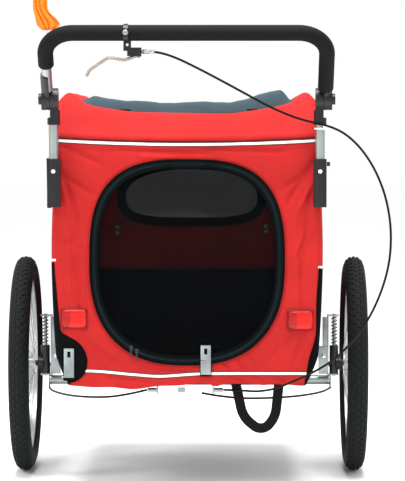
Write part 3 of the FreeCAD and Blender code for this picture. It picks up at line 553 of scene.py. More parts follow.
def crease(x, z, start, end, width):
    """Depth, from 0 to 1, of a soft fold between two points of a wall."""
    a, b = Vector(start), Vector(end)
    run = b - a
    t = min(1.0, max(0.0, (Vector((x, z)) - a).dot(run) / run.length_squared))
    away = (Vector((x, z)) - a - run * t).length
    return math.exp(-(away / width) ** 2) * math.sin(math.pi * min(1, max(0, 0.15 + 0.7 * t)))


REAR_FOLDS = [  # start, end, width, depth (a ridge if positive)
    ((-0.286, 0.735), (-0.240, 0.600), 0.0050, -0.0060), ((-0.280, 0.752), (-0.262, 0.610), 0.0040, 0.0040),
    ((-0.272, 0.762), (-0.190, 0.722), 0.0050, -0.0040), ((-0.276, 0.700), (-0.205, 0.655), 0.0050, -0.0045),
    ((-0.290, 0.560), (-0.225, 0.530), 0.0070, -0.0040), ((-0.250, 0.640), (-0.236, 0.430), 0.0060, -0.0050),
    ((-0.262, 0.600), (-0.256, 0.430), 0.0050, 0.0035), ((-0.230, 0.560), (-0.226, 0.380), 0.0050, 0.0030),
    ((0.286, 0.742), (0.222, 0.640), 0.0050, -0.0062), ((0.284, 0.715), (0.214, 0.672), 0.0045, -0.0050),
    ((0.280, 0.690), (0.238, 0.610), 0.0045, 0.0045), ((0.270, 0.660), (0.250, 0.470), 0.0070, -0.0050),
    ((0.292, 0.575), (0.228, 0.505), 0.0060, -0.0045), ((0.262, 0.590), (0.238, 0.520), 0.0045, 0.0040),
    ((0.240, 0.560), (0.244, 0.400), 0.0060, 0.0040), ((-0.150, 0.752), (0.060, 0.744), 0.0055, -0.0035),
    ((0.020, 0.756), (0.210, 0.748), 0.0050, -0.0035), ((-0.100, 0.738), (-0.030, 0.736), 0.0040, 0.0030),
    ((-0.235, 0.345), (-0.150, 0.278), 0.0060, -0.0050), ((-0.245, 0.430), (-0.225, 0.360), 0.0060, -0.0040),
    ((0.240, 0.345), (0.160, 0.276), 0.0060, -0.0055), ((0.262, 0.362), (0.236, 0.285), 0.0050, -0.0045),
    ((-0.060, 0.272), (0.015, 0.268), 0.0040, -0.0030), ((0.075, 0.290), (0.098, 0.266), 0.0040, -0.0045),
    ((0.110, 0.296), (0.128, 0.270), 0.0040, -0.0045), ((0.140, 0.304), (0.156, 0.276), 0.0040, -0.0040),
    ((0.168, 0.310), (0.186, 0.282), 0.0040, -0.0040), ((0.200, 0.330), (0.212, 0.285), 0.0045, -0.0040),
    ((-0.180, 0.256), (-0.090, 0.243), 0.0040, -0.0030), ((0.100, 0.254), (0.130, 0.240), 0.0035, -0.0040),
    ((0.150, 0.254), (0.172, 0.240), 0.0035, -0.0040), ((0.195, 0.254), (0.215, 0.241), 0.0035, -0.0040),
]


def rear_point(x, z, lift=0.0):
    """A point on the rear cover: its folds, its bulge and its rounded upright corners."""
    edge = half_width(min(max(z, FLOOR_LEVEL), BELT)) - abs(x)
    round_in = 0.0
    if edge < BEND:
        round_in = BEND - math.sqrt(max(0.0, BEND ** 2 - (BEND - max(edge, 0.0)) ** 2))
    folds = sum(depth * crease(x, z, a, b, width) for a, b, width, depth in REAR_FOLDS)
    waves = (0.0022 * noise.noise(Vector((x * 13, z * 9, 1.7)))
             + 0.0011 * noise.noise(Vector((x * 34, z * 24, 5.1))))
    clear = smooth_step(0.0, 0.02, edge)
    depth = min(0.0038, max(-0.0030, 0.0004 - (1.15 * folds + waves) * clear))
    return at(x, REAR + depth + round_in - lift, z)


def roof_height(x, y):
    """Height of the roof over a point: the cross section cut off by the rear and front slopes."""
    section = level_at(ROOF_LINE, x)
    rear = belt_at(x) + (y - REAR) * 1.50
    front = 0.881 - (y - 0.270) * FRONT_RISE
    soft = 0.005
    total = sum(math.exp(-(level - section) / soft) for level in (rear, front)) + 1.0
    return section - soft * math.log(total)


# ------------------------------------------------------------------ cabin covers

def make_rear_cover():
    """The red rear wall between the door and its edges, as one sheet; its black corners are patches laid over
    it.
    """
    def place(t, r):
        ix, iz = door_rim(t, 0.002)
        angle = 2 * math.pi * t
        c, s = math.cos(angle), math.sin(angle)
        reach = max(abs(c) / 0.292, abs(s) / 0.269)
        ox, oz = c / reach, 0.505 + s / reach
        top, low = belt_at(ox), hem(ox)
        oz = low + (oz - FLOOR_LEVEL) / (BELT - FLOOR_LEVEL) * (top - low)
        if abs(c) / 0.292 >= abs(s) / 0.269 * 0.999:
            ox = math.copysign(half_width(oz), c)
        else:
            ox = ox / 0.292 * half_width(oz)
        x, z = ix + (ox - ix) * r, iz + (oz - iz) * r
        return rear_point(x, z)
    piece = skinned("rear_cloth", grid(360, 30, place, wrap=True), RED, "chassis", "red_fabric", CLOTH, -1)
    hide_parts("rear_cover")


# (height, distance from the middle) of each corner patch's inner edge
LEFT_PATCH = [(0.2365, 0.262), (0.248, 0.2395), (0.261, 0.2255), (0.2847, 0.2198), (0.3022, 0.222),
              (0.326, 0.2345), (0.3411, 0.2566), (0.3500, 0.2745), (0.3620, 0.2800), (0.420, 0.2850),
              (0.505, 0.2925)]
RIGHT_PATCH = [(0.2365, 0.259), (0.2589, 0.2625), (0.2978, 0.2690), (0.3238, 0.2775), (0.3499, 0.2835),
               (0.420, 0.2845), (0.497, 0.2895)]


def make_corner_patches():
    """Black cloth that comes round each upright corner below the side's seam and over the lower corner."""
    for name, side, inner in (("left", -1, LEFT_PATCH), ("right", 1, RIGHT_PATCH)):
        def place(u, v, side=side, inner=inner):
            z = inner[0][0] + (inner[-1][0] - inner[0][0]) * v
            start = level_at(inner, z)
            x = start + (half_width(z) - start) * u
            return rear_point(side * x, z, 0.0009)
        skinned(f"{name}_corner_patch", grid(16, 90, place), BLACK_CLOTH, "chassis", "black_fabric",
                0.0009, 0)
        low, high = inner[0][0], inner[-1][0]
        levels = [low + (high - low) * i / 40 for i in range(41)]
        edge = [rear_point(side * level_at(inner, z), z, 0.0012) for z in levels]
        trim_line(f"{name}_patch_binding", edge, 0.0011, PIPING, "chassis")
        tab_z = 0.5085 if side < 0 else 0.4930

        def tab(u, v, side=side, tab_z=tab_z):
            return rear_point(side * (0.2875 + 0.0095 * u), tab_z + 0.005 * v, 0.0014)
        skinned(f"{name}_seam_tab", grid(8, 2, tab), REFLECTIVE, "chassis", "zip_tape", TRIM, 0)


def make_roof():
    """The roof: a sloping rear band, the arch between the hoops and the hatch opening."""
    front_end = 0.3067

    def place(u, v):
        x, z = through(ROOF_LINE, u)
        y = REAR + 0.004 + (front_end - REAR - 0.004) * v
        slope = roof_height(x, y)
        height = min(z + 0.0015, slope) if abs(x) > 0.27 else slope
        wave = (0.003 * noise.noise(Vector((x * 11, y * 8, 3.0)))
                + 0.0012 * noise.noise(Vector((x * 30, y * 30, 9.0))))
        wave *= smooth_step(REAR, REAR + 0.03, y)
        return at(x, y, max(height + wave, belt_at(x) - 0.001))

    def keep(u, v):
        x, y = through(ROOF_LINE, u)[0], REAR + (front_end - REAR) * v
        return not (abs(x) < 0.185 and -0.240 < y < 0.125)

    piece = skinned("roof_cloth", grid(96, 80, place, keep), RED, "chassis", "red_fabric", CLOTH, -1)
    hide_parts("roof_cover")


def make_sunroof():
    """The slate cover that lies over the hatch, its rear edge rolled and wavy."""
    half = 0.232

    def height(x):
        """Height of the roll above the roof: low at the ends, highest at the right."""
        ends = smooth_step(half + 0.002, half - 0.028, abs(x))
        return ends * (0.0205 + 0.0135 * smooth_step(0.08, 0.205, x) + 0.0012 * math.sin(46 * x)
                       + 0.0018 * noise.noise(Vector((x * 40, 2.0, 0.0))))

    def place(u, v):
        x = -half + 2 * half * u
        if v < 0.25:
            t = v / 0.25
            y = -0.296 + 0.014 * t
            return at(x, y, roof_height(x, -0.290) - 0.002 + (height(x) + 0.004) * math.sin(t * math.pi / 2))
        t = (v - 0.25) / 0.75
        y = -0.282 + 0.430 * t
        fall = smooth_step(0.34, 0.0, t)
        crumple = 0.0025 * noise.noise(Vector((x * 16, y * 16, 7.0)))
        return at(x, y, roof_height(x, y) + 0.0045 + max(0.0, (height(x) - 0.0025) * fall + crumple))
    piece = skinned("sunroof_cloth", grid(96, 72, place), SLATE, "sunroof", "slate_fabric", 0.0025, 0)
    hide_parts("sunroof_cover")
    for index, x in enumerate((-0.139, 0.144)):
        def strap(u, v, x=x):
            return at(x - 0.0125 + 0.025 * u, -0.3005 - 0.001 * math.sin(math.pi * v) + 0.003 * v,
                      roof_height(x, -0.290) - 0.0085 + 0.012 * v)
        skinned(f"sunroof_strap_{index}", grid(6, 12, strap), WEBBING, "sunroof", "webbing", 0.0018)


def make_sides():
    """Each side wall: red above, with a clear window and its border, and a black panel below."""
    for name, side in (("left", -1), ("right", 1)):
        def wall(y, z, lift=0.0, side=side):
            height = min(max(z, FLOOR_LEVEL), 0.86)
            x = half_width(height) if height <= BELT else SIDE_TOP
            wave = 0.003 * noise.noise(Vector((y * 9, z * 9, 2.0 + side)))
            wave *= smooth_step(0.0, 0.05, min(y - REAR, FRONT - y))
            return at(side * (x - 0.001 + wave + lift), y, z)

        def front_edge(z):
            return FRONT - 0.004 if z < FRONT_BEND else FRONT - 0.004 - (z - FRONT_BEND) / FRONT_RISE

        def pane(t, grow=0.0):
            y, z = oval(t, 0.235 + grow, 0.125 + grow, 0.125 + grow, PANE_POWER, PANE_POWER)
            return PANE_MIDDLE + y, FRONT_BEND + z

        def place(t, r):
            iy, iz = pane(t)
            angle = 2 * math.pi * t
            c, s = math.cos(angle), math.sin(angle)
            reach = max(abs(c), abs(s))
            oz = 0.558 + s / reach * 0.216
            low, high = REAR + BEND, front_edge(oz)
            oy = low + (c / reach + 1) / 2 * (high - low)
            return wall(iy + (oy - iy) * r, iz + (oz - iz) * r)

        def skirt(u, v):
            return wall(REAR + BEND + (0.752 - BEND) * u, 0.238 + 0.104 * v)

        def clear(t, r):
            y, z = pane(t)
            return wall(PANE_MIDDLE + (y - PANE_MIDDLE) * r, FRONT_BEND + (z - FRONT_BEND) * r, -0.001)

        def border(t, r):
            return wall(*pane(t, -0.008 + 0.018 * r), 0.0018)
        upper = skinned(f"{name}_side_cloth", grid(240, 14, place, wrap=True), RED, "chassis", "red_fabric",
                        CLOTH, -1)
        lower = skinned(f"{name}_side_skirt", grid(60, 10, skirt), BLACK_CLOTH, "chassis", "black_fabric",
                        CLOTH, -1)
        film = skinned(f"{name}_side_film", grid(120, 8, clear, wrap=True), FILM, "chassis", "clear_window",
                       VINYL, -1)
        skinned(f"{name}_side_window_tape", grid(160, 3, border, wrap=True), BLACK_CLOTH, "chassis",
                "black_fabric", 0.001, 1)
        if side < 0:
            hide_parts("side_covers")
            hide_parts("side_lower_panels")
            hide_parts("windows")


def front_point(x, z, lift=0.0):
    """A point on the front wall, upright below and leaning back above."""
    y = FRONT - 0.003 if z < FRONT_BEND else FRONT - 0.003 - (z - FRONT_BEND) / FRONT_RISE
    y -= 0.006 * math.exp(-((z - 0.56) / 0.03) ** 2)
    edge = half_width(min(z, BELT)) - abs(x)
    round_in = BEND - math.sqrt(max(0.0, BEND ** 2 - (BEND - max(min(edge, BEND), 0.0)) ** 2))
    wave = 0.003 * noise.noise(Vector((x * 10, z * 10, 8.0)))
    return at(x, y - round_in + wave * smooth_step(0, 0.03, edge) + lift, z)


def lens(t, grow=0.0):
    """The front window's outline: flat below and arched above."""
    x, z = oval(t, 0.168 + grow, 0.074 + grow, 0.058 + grow, 2.3, 3.2)
    return x, LENS_MIDDLE + z


def make_front():
    """The front wall with its window, and the lining that shows through the rear door."""
    def place(t, r):
        ix, iz = lens(t)
        angle = 2 * math.pi * t
        c, s = math.cos(angle), math.sin(angle)
        reach = max(abs(c), abs(s))
        oz = 0.506 + s / reach * 0.268
        ox = c / reach * half_width(oz)
        return front_point(ix + (ox - ix) * r, iz + (oz - iz) * r)
    piece = skinned("front_cloth", grid(240, 26, place, wrap=True), RED, "chassis", "red_fabric", CLOTH, -1)
    piece.data.materials.append(BLACK_CLOTH)
    piece.data.materials.append(RED_PAINTED_LIGHT_INSIDE)
    # Faces below the skirt line are black cloth; the inward faces take the red painted lighter, a painted
    # light for the inside of the cabin.
    for face in piece.data.polygons:
        face.material_index = 1 if face.center.z < 0.345 else 2 if face.normal.y < -0.5 else 0
    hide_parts("front_cover")

    def clear(t, r):
        x, z = lens(t)
        return front_point(x * r, LENS_MIDDLE + (z - LENS_MIDDLE) * r, -0.001)
    skinned("front_film", grid(120, 8, clear, wrap=True), FILM, "chassis", "clear_window", VINYL, -1)
    for name, lift in (("front_window_tape", 0.0025), ("front_window_lining", -0.004)):
        def border(t, r, lift=lift):
            return front_point(*lens(t, -0.006 + 0.022 * r), lift)
        skinned(name, grid(160, 4, border, wrap=True), BLACK_CLOTH, "chassis", "black_fabric", 0.001, 0)
    # The bar sleeve takes the red painted lighter, a painted light for the inside of the cabin.
    for name, low, high, depth, look, slot in (
            ("front_pocket", 0.250, 0.452, 0.3400, LINING, "black_fabric"),
            ("front_bar_sleeve", 0.453, 0.557, 0.3405, RED_PAINTED_LIGHT_INSIDE, "red_fabric")):
        def place(u, v, low=low, high=high, depth=depth):
            z = low + (high - low) * v
            x = (2 * u - 1) * (half_width(z) - 0.045)
            return at(x, depth + 0.0025 * noise.noise(Vector((x * 9, z * 9, 6.0))), z)
        skinned(name, grid(40, 14, place), look, "chassis", slot, 0.0015, 0)
    for index, (x, z) in enumerate(((-0.184, 0.556), (-0.184, 0.541), (0.184, 0.558), (0.184, 0.546))):
        turned(f"snap_{index}", [(0, 0.006), (0.002, 0.0065), (0.004, 0.004)], at(x, 0.3375, z),
               (0, -1, 0), BRIGHT, "chassis", "zinc_steel", sides=16)


# ------------------------------------------------------------------ rear door

def make_door():
    """The mesh door: the flap above its fold line, the fixed mesh below it."""
    def surface(x, z):
        edge = door_half_width(z) - abs(x)
        top = DOOR_MIDDLE + DOOR_HALF[1] - z
        near = max(math.exp(-edge / 0.03), math.exp(-top / 0.035))
        around = math.atan2(z - DOOR_MIDDLE, x)
        gathers = 0.0022 * near * math.sin(58 * around) + 0.0012 * noise.noise(Vector((x * 14, z * 14, 4.0)))
        return at(x, REAR + 0.0015 + gathers + 0.004 * (1 - near), z)

    def rows(low, high):
        def place(u, v):
            z = low + (high - low) * v
            return surface((2 * u - 1) * door_half_width(z, 0.001), z)
        return place
    top = DOOR_MIDDLE + DOOR_HALF[1]
    flap = skinned("door_mesh", grid(110, 90, rows(HINGE + 0.0006, top)), MESH, "door", "mesh", 0.0004, 0)
    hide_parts("rear_door")
    hem_mesh = grid(110, 14, rows(DOOR_MIDDLE - DOOR_HALF[1], HINGE - 0.0006))
    low = skinned("door_mesh_fixed", hem_mesh, MESH, "chassis", "mesh", 0.0004, 0)
    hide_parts("rear_door_hem")


def rim_path(grow, lift, count=200):
    """Points around the door on the rear cover."""
    path = []
    for i in range(count):
        x, z = door_rim(i / count, grow)
        path.append(at(x, REAR - lift, z))
    return path


def make_zip():
    """The tape around the door, its piping, the coil of teeth and two sliders."""
    def tape(t, r):
        x, z = door_rim(t, -0.0075 + 0.0155 * r)
        return at(x, REAR - 0.0012 - 0.0016 * math.sin(math.pi * r), z)
    piece = skinned("door_tape", grid(260, 8, tape, wrap=True), TAPE, "chassis", "zip_tape", 0.0010, 0)
    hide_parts("rear_door_zip")
    for name, grow, lift, radius in (("outer", 0.0085, 0.0020, 0.0022), ("inner", -0.0085, 0.0016, 0.0026)):
        trim_line(f"door_piping_{name}", rim_path(grow, lift), radius, PIPING, "chassis",
                  closed=True)
    points, faces = [], []
    count = 620
    for i in range(count):
        x, z = door_rim(i / count, 0.0)
        nx, nz = door_rim((i + 0.35) / count, 0.0)
        along = Vector((nx - x, 0, nz - z)).normalized()
        out = Vector((along.z, 0, -along.x))
        middle = at(x, REAR - 0.0032, z)
        add_block(points, faces, [
            middle + along * a * grow * 0.0006 + out * b * grow * 0.0021 + Vector((0, -0.0013 * rise, 0))
            for grow, rise in ((1, 0), (0.7, 1)) for a, b in CORNERS])
    new_object("door_teeth", mesh_of("door_teeth", points, faces), PLASTIC, "chassis", "zip_tape")
    for index, turn in enumerate((0.660, 0.672)):
        x, z = door_rim(turn, 0.0)
        body = slab_piece(f"zip_slider_{index}", at(x - 0.004, REAR - 0.0075, z - 0.005),
                          at(x + 0.004, REAR - 0.0030, z + 0.005), BLACK_STEEL, "chassis", "zinc_steel",
                          0.0015)
        pull = slab_piece("pull", at(x - 0.0022, REAR - 0.0092, z - 0.021),
                          at(x + 0.0022, REAR - 0.0076, z - 0.002), BLACK_STEEL, "chassis", "zinc_steel",
                          0.0007)
        joined(body.name, [body, pull])


# ------------------------------------------------------------------ trim on the rear wall

def make_strips():
    """The two reflective strips with their narrow grey edges."""
    def upper(x):
        return belt_at(x) - 0.001

    def lower(x):
        return 0.2620 - 0.0062 * math.exp(-((x + 0.06) / 0.06) ** 2) + 0.0055 * smooth_step(-0.12, -0.22, x)
    for name, line, limits in (("upper", upper, (-0.287, 0.287)), ("lower", lower, (-0.224, 0.2635))):
        for part, low, high, look, lift in (("edge", -0.0048, 0.0048, GREY_EDGE, 0.0004),
                                            ("strip", -0.0027, 0.0027, REFLECTIVE, 0.0010)):
            def place(u, v, line=line, limits=limits, low=low, high=high, lift=lift):
                x = limits[0] + (limits[1] - limits[0]) * u
                z = line(x) + low + (high - low) * v
                spot = rear_point(x, min(z, BELT - 0.002), lift)
                spot.z = z
                return spot
            skinned(f"{name}_reflective_{part}", grid(120, 3, place), look, "chassis", "zip_tape", TRIM, 0)
    for side in (-1, 1):
        def place(u, v, side=side):
            return at(side * (SIDE_TOP + 0.0018), REAR + BEND + 0.30 * u, BELT - 0.005 + 0.009 * v)
        name = "left" if side < 0 else "right"
        skinned(f"{name}_side_strip", grid(20, 2, place), REFLECTIVE, "chassis", "zip_tape", TRIM, 0)


def make_reflectors():
    """Each reflector: a dark red dish and a crowned lens whose left field is painted darker, a painted shade
    of the light from one side.
    """
    pieces = []
    for side in (-1, 1):
        x = side * 0.248
        z = 0.383 if side < 0 else 0.380
        dish = slab_piece("dish", at(x - 0.029, REAR - 0.0050, z - 0.022),
                          at(x + 0.029, REAR - 0.0003, z + 0.022), DARK_RED, None, None, 0.0022)

        def crowned(t, r, x=x, z=z):
            """The lens: a rounded oblong that bulges to the rear."""
            out_x, out_z = oval(t, 0.0262, 0.0192, 0.0192, 6.25, 6.25)
            return at(x + out_x * r, REAR - 0.0078 + 0.0034 * r ** 6, z + out_z * r)
        face_lens = skinned("lens", grid(72, 12, crowned, wrap=True), RED_LENS, None, None, 0.0016, 0)
        face_lens.data.materials.append(LENS_PAINTED_SHADE)
        # The lens's left field gets the painted shade.
        for face in face_lens.data.polygons:
            face.material_index = 1 if face.center.x < x - 0.007 else 0
        pieces += [dish, face_lens]
    lens_set = joined("reflector_lenses", pieces)
    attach(lens_set, "chassis")
    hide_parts("rear_reflectors")


def make_bracket_surrounds():
    """Black reinforcing patches behind the slotted rear plates."""
    for index, (x, low, high) in enumerate(((0.041, 0.256, 0.327), (-0.259, 0.246, 0.322))):
        def place(u, v, x=x, low=low, high=high):
            depth = 0.0030 + 0.0004 * math.sin(9 * v)
            return at(x + PATCH_HALF * (2 * u - 1), REAR - depth, low + (high - low) * v)
        skinned(f"plate_patch_{index}", grid(10, 20, place), BLACK_CLOTH, "chassis", "black_fabric",
                0.0012, 0)


# ------------------------------------------------------------------ cords

UPPER_CABLE = [(-0.082, -0.541, 0.962), (-0.062, -0.541, 0.962), (-0.024, -0.538, 0.951),
               (0.026, -0.524, 0.927), (0.078, -0.505, 0.900), (0.130, -0.486, 0.872), (0.184, -0.466, 0.843),
               (0.236, -0.448, 0.822), (0.270, -0.436, 0.813), (0.290, -0.428, 0.808)]
LOWER_CABLE = [(0.293, -0.427, 0.808), (0.314, -0.421, 0.803), (0.348, -0.414, 0.786), (0.384, -0.406, 0.751),
               (0.415, -0.398, 0.701), (0.437, -0.392, 0.641), (0.447, -0.388, 0.573), (0.443, -0.386, 0.503),
               (0.423, -0.386, 0.434), (0.391, -0.388, 0.370), (0.349, -0.392, 0.318), (0.309, -0.398, 0.284),
               (0.266, -0.402, 0.262)]
CABLE_WIDTH = 0.005      # outside diameter of the brake cable


def line_points(route):
    """Points of the smooth NURBS line that has a route's points as its control points."""
    piece = tube("line", route, 0.0, None, None, None)
    piece.data.resolution_u = piece.data.splines[0].resolution_u = 12
    bpy.context.view_layer.update()
    mesh = bpy.data.meshes.new_from_object(piece.evaluated_get(bpy.context.evaluated_depsgraph_get()))
    points = [vertex.co.copy() for vertex in mesh.vertices]
    bpy.data.objects.remove(piece)
    return points


def run_length(points):
    """Length of a line of points."""
    return sum((b - a).length for a, b in zip(points, points[1:]))


def make_cables():
    """The two halves of the brake cable, each running across one joint of the handle."""
    halves = (("brake_cable_upper", UPPER_CABLE, ("handle", "stubs"), (2, 7)),
              ("brake_cable_lower", LOWER_CABLE, ("stubs", "chassis"), (1, 9)))
    for node, route, bodies, (first, last) in halves:
        route = [at(*point) for point in route]
        path = line_points(route)
        cable = as_mesh(tube(node + "_jacket", route, CABLE_WIDTH / 2, JACKET, None, None, sides=5))
        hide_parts(node)
        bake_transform(cable)
        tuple(path[0])
        run_length(path)


def make_cable_fittings():
    """The lever's barrel adjuster and the white tie on the right stub."""
    start = at(*UPPER_CABLE[0])
    barrel = [(-0.012, 0.0032), (-0.006, 0.0032), (-0.0055, 0.0048), (0.004, 0.0048), (0.0045, 0.0036),
              (0.016, 0.0036)]
    turned("barrel_adjuster", barrel, start, (1, 0, 0), ZINC, "handle", "zinc_steel", 20)

    def tie(t, r):
        angle = 2 * math.pi * t
        around = Vector((0.0122 * math.cos(angle), 0.0122 * math.sin(angle) * 1.06, 0.0035 * r))
        return at(0.290, -0.401, 0.797) + around
    skinned("cable_tie", grid(36, 2, tie, wrap=True), WHITE, "stubs", "white_plastic", 0.0014, 0)
    slab_piece("cable_tie_lock", at(0.296, -0.4170, 0.796), at(0.304, -0.4115, 0.805), WHITE, "stubs",
               "white_plastic", 0.0008)


# ------------------------------------------------------------------ wheels

# (tilt from the middle in degrees, width, length) of the tread blocks in each row round a tyre
TREAD_LANES = ((-44, 0.0055, 0.011), (-22, 0.0062, 0.012), (0, 0.0060, 0.0135), (22, 0.0062, 0.012),
               (44, 0.0055, 0.011))
BLOCKS_ROUND = 84        # blocks in each row


def make_tyres():
    """Each tyre: a round carcass with a ribbed side, and blocks of tread in five rows."""
    for name in ("left", "right"):
        low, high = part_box(f"{name}_tyre")
        centre = (low + high) / 2
        outer, half = (high.z - low.z) / 2, (high.x - low.x) / 2
        section = []
        tread = 0.0022
        for i in range(41):
            turn = math.radians(-150 + 300 * i / 40)
            ring = outer - tread - half + half * math.cos(turn)
            section.append((half * math.sin(turn) * 0.995, ring))
        section.append(section[0])
        points, faces = [], []
        sides = 160
        for along, ring in section[:-1]:
            for i in range(sides):
                angle = 2 * math.pi * i / sides
                points.append(centre + Vector((along, ring * math.sin(angle), ring * math.cos(angle))))
        rows = len(section) - 1
        for j in range(rows):
            for i in range(sides):
                nxt = (i + 1) % sides
                up = (j + 1) % rows
                faces.append((j * sides + i, j * sides + nxt, up * sides + nxt, up * sides + i))
        for lane, (tilt, width, length) in enumerate(TREAD_LANES):
            for i in range(BLOCKS_ROUND):
                angle = 2 * math.pi * (i + 0.5 * (lane % 2)) / BLOCKS_ROUND
                radial = Vector((0, math.sin(angle), math.cos(angle)))
                forward = Vector((0, math.cos(angle), -math.sin(angle)))
                lean = math.radians(tilt)
                out = (radial * math.cos(lean) + Vector((math.sin(lean), 0, 0))).normalized()
                aside = (Vector((math.cos(lean), 0, 0)) - radial * math.sin(lean)).normalized()
                base = centre + radial * (outer - tread - half) + out * (half - 0.001)
                skew = (lane - 2) * 0.35
                height = 1 if abs(tilt) < 30 else 0.7
                add_block(points, faces, [
                    base + out * rise * height + aside * a * width * shrink / 2
                    + forward * (b * length * shrink / 2 + a * skew * width)
                    for rise, shrink in ((0.0, 1.0), (tread + 0.001, 0.82)) for a, b in CORNERS],
                          BLOCK_SIDES[1:])
        mesh = mesh_of(f"{name}_tyre_tread", points, faces)
        piece = new_object(f"{name}_tyre_tread", mesh, TYRE, f"{name}_wheel", "tyre")
        for face in mesh.polygons[:rows * sides]:
            face.use_smooth = True
        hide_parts(f"{name}_tyre")
        reach = outer - half * 1.25
        for edge in (-1, 1):
            ring = [centre + Vector((edge * half * 0.97, math.sin(turn) * reach, math.cos(turn) * reach))
                    for turn in (math.radians(15 * k) for k in range(24))]
            label = "inner" if (edge > 0) == (name == "left") else "outer"
            trim_line(f"{name}_tyre_rib_{label}", ring, 0.0008, TYRE, f"{name}_wheel", closed=True)


# ------------------------------------------------------------------ inside, flag and small trim

def make_floor_pad():
    """The padded floor mat: swelled by a cloth simulation, then its sewn channels pressed in."""
    low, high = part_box("floor_pad")
    inset = Vector((0.006, 0.006, 0.003))
    mat = slab_piece("floor_mat", low + inset, high - inset, LINING, None, None, 0.004)
    remesh = mat.modifiers.new("remesh", "REMESH")
    remesh.mode = "VOXEL"
    remesh.voxel_size = 0.006
    apply_all(mat)
    rest = [vertex.co.copy() for vertex in mat.data.vertices]
    swell = mat.modifiers.new("swell", "CLOTH")
    swell.settings.use_pressure = True
    swell.settings.uniform_pressure_force = 4
    swell.settings.effector_weights.gravity = 0
    swell.point_cache.frame_start, swell.point_cache.frame_end = 1, 14
    for step in range(1, 15):
        bpy.context.scene.frame_set(step)
    apply_all(mat)
    for vertex, start in zip(mat.data.vertices, rest):
        move = vertex.co - start
        if move.length > 0.004:
            vertex.co = start + move.normalized() * 0.004
    bpy.context.scene.frame_set(1)
    middle = (low + high) / 2
    for vertex in mat.data.vertices:
        if vertex.co.z > middle.z:
            dip = 0.0
            for line in (-0.15, 0.0, 0.15):
                dip = max(dip, math.exp(-((vertex.co.x - middle.x - line) / 0.006) ** 2))
            for line in (-0.22, -0.075, 0.075, 0.22):
                dip = max(dip, math.exp(-((vertex.co.y - middle.y - line) / 0.006) ** 2))
            crown = 0.0012 * math.cos((vertex.co.x - middle.x) / 0.075 * math.pi) ** 2
            vertex.co.z += crown - 0.0045 * dip
        vertex.co.z = max(vertex.co.z, low.z)
    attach(mat, "chassis")
    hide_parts("floor_pad")


def make_flag():
    """The orange pennant, hanging limp beside its pole."""
    low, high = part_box("flag")
    left = [(1.0150, -0.3180), (1.0180, -0.3235), (1.0280, -0.3315), (1.0400, -0.3345), (1.0660, -0.3400),
            (1.1500, -0.3380), (1.2800, -0.3300), (1.4140, -0.3190)]
    right = [(1.0150, -0.2930), (1.0180, -0.2875), (1.0280, -0.2810), (1.0400, -0.2900), (1.0540, -0.3040),
             (1.0660, -0.3085), (1.1500, -0.3050), (1.2800, -0.3000), (1.4140, -0.3010)]

    def place(u, v):
        z = 1.0150 + (high.z - 1.0150) * v
        start, end = level_at(left, z), level_at(right, z)
        folds = 0.0070 * math.sin(u * 10.5 + 3.0 * v) * (1 - 0.6 * v)
        x = start + (end - start) * (u + 0.05 * math.sin(7 * u + 9 * v))
        return Vector((x, (low.y + high.y) / 2 - 0.0065 - abs(folds), z))
    piece = skinned("flag_cloth", grid(36, 60, place), ORANGE, "pole", "orange_fabric", 0.0006, 0)
    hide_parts("flag")


def make_springs():
    """Each wheel's coil spring, copied from its CAD part onto the chassis."""
    for side in ("left", "right"):
        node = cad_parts[f"{side}_spring"]
        low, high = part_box(node.name)
        mesh = node.data.copy()
        mesh.transform(node.matrix_world)
        mesh.materials.clear()
        spring = new_object(f"{side}_coil_spring", mesh, BLACK_STEEL, "chassis", "black_steel")
        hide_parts(node.name)
        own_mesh(spring)


def make_brackets():
    """The wheels' brackets, each with a folded flange and a bolt that face the rear."""
    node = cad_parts["suspension_brackets"]
    mesh = node.data.copy()
    mesh.transform(node.matrix_world)
    mesh.materials.clear()
    pieces = [new_object("plates", mesh, ZINC, None, None)]
    for side in (-1, 1):
        across = sorted((side * 0.3105, side * 0.3235))
        pieces.append(slab_piece("flange", at(across[0], -0.0170, 0.290), at(across[1], -0.0142, 0.360), ZINC,
                                 None, None, 0.0008))
        pieces.append(turned("bolt", [(0, 0.0056), (0.0030, 0.0056), (0.0045, 0.0042)],
                             at(side * 0.3137, -0.0168, 0.268), (0, -1, 0), BRIGHT, None, None, 20))
    brackets = joined("bracket_steel", pieces)
    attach(brackets, "chassis")
    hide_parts("suspension_brackets")


def make_hub_nuts():
    """A dark nut and washer over each hub's inner end."""
    for side in ("left", "right"):
        low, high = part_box(f"{side}_hub")
        centre = (low + high) / 2
        inward = 1 if side == "left" else -1
        end = centre + Vector((inward * ((high.x - low.x) / 2 - 0.004), 0, 0))
        turned(f"{side}_hub_collar", [(0.0, 0.0125), (0.004, 0.0125), (0.0045, 0.0095), (0.008, 0.0095)], end,
               (-inward, 0, 0), PLASTIC, f"{side}_wheel", "black_plastic", 24)


def make_knob_cap():
    """A steel screw head in the brake clamp's knob."""
    low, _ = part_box("brake_clamp")
    centre = Vector((-0.127, low.y + 0.0004, at(0, 0, 1.0016).z))
    turned("clamp_screw", [(0, 0.0058), (0.0012, 0.0058), (0.0022, 0.0040)], centre, (0, -1, 0), ZINC,
           "handle", "zinc_steel", 24)


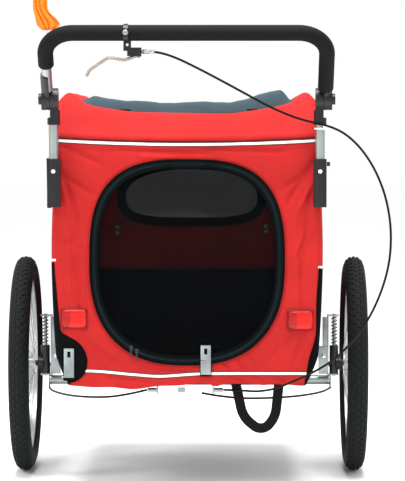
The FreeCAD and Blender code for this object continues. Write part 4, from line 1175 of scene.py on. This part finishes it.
def make_stitching():
    """Lines of stitches beside the main seams of the rear wall."""
    points, faces = [], []

    def stitch(spot, along):
        along = along.normalized() * 0.0017
        thick = Vector((0, 1, 0)).cross(along).normalized() * 0.00035
        add_block(points, faces, [
            spot + along * a * long + thick * b * wide + Vector((0, -0.0007 * rise, 0))
            for long, wide, rise in ((1, 1, 0), (0.7, 0.6, 1)) for a, b in CORNERS])
    count = 420
    for i in range(count):
        x, z = door_rim(i / count, 0.0145)
        nx, nz = door_rim((i + 0.5) / count, 0.0145)
        stitch(rear_point(x, z, 0.0003), Vector((nx - x, 0, nz - z)))
    for x in [-0.27 + 0.0052 * i for i in range(104)]:
        stitch(rear_point(x, belt_at(x) - 0.0135, 0.0003), Vector((1, 0, 0)))
    new_object("rear_stitches", mesh_of("stitches", points, faces), RED, "chassis", "red_fabric")


# ------------------------------------------------------------------ studio

def make_studio():
    """A pale floor, soft lights and the camera."""
    bpy.ops.mesh.primitive_plane_add(size=60, location=(0, 0, 0))
    floor = bpy.context.object
    floor.name = "studio_floor"
    ground, _, _, shader = node_tree("studio_white", (0.985, 0.985, 0.985), 0.9)
    shader.inputs["Specular IOR Level"].default_value = 0.1
    floor.data.materials.append(ground)

    world = bpy.data.worlds.new("studio")
    bpy.context.scene.world = world
    world.use_nodes = True
    world.node_tree.nodes["Background"].inputs["Color"].default_value = (1, 1, 1, 1)
    world.node_tree.nodes["Background"].inputs["Strength"].default_value = 1.0

    for name, place, size, power in (("key", (-2.6, -2.2, 2.6), 1.2, 60), ("fill", (2.6, -3.0, 2.2), 2.4, 12),
                                     ("top", (0.0, -1.0, 3.6), 2.0, 230)):
        light = bpy.data.lights.new(name, "AREA")
        light.size, light.energy = size, power
        lamp = bpy.data.objects.new(name, light)
        bpy.context.scene.collection.objects.link(lamp)
        lamp.location = at(*place)
        lamp.rotation_euler = (at(0, 0, 0.5) - lamp.location).to_track_quat("-Z", "Y").to_euler()

    bpy.context.scene.view_settings.view_transform = "Standard"

    camera = bpy.data.objects.new("camera", bpy.data.cameras.new("camera"))
    bpy.context.scene.collection.objects.link(camera)
    camera.location = at(0.089, -5.92, 0.80)
    look = Vector((-0.00994, 1.0, -math.tan(math.radians(2.54))))
    camera.rotation_euler = look.to_track_quat("-Z", "Y").to_euler()
    camera.data.lens = 189.6
    camera.data.sensor_width = 36.0
    bpy.context.scene.camera = camera


dress_cad()
make_studio()
make_cables()
make_cable_fittings()
make_rear_cover()
make_corner_patches()
make_roof()
make_sunroof()
make_sides()
make_front()
make_door()
make_zip()
make_strips()
make_reflectors()
make_bracket_surrounds()
make_tyres()
make_floor_pad()
make_flag()
make_springs()
make_brackets()
make_hub_nuts()
make_knob_cap()
make_stitching()
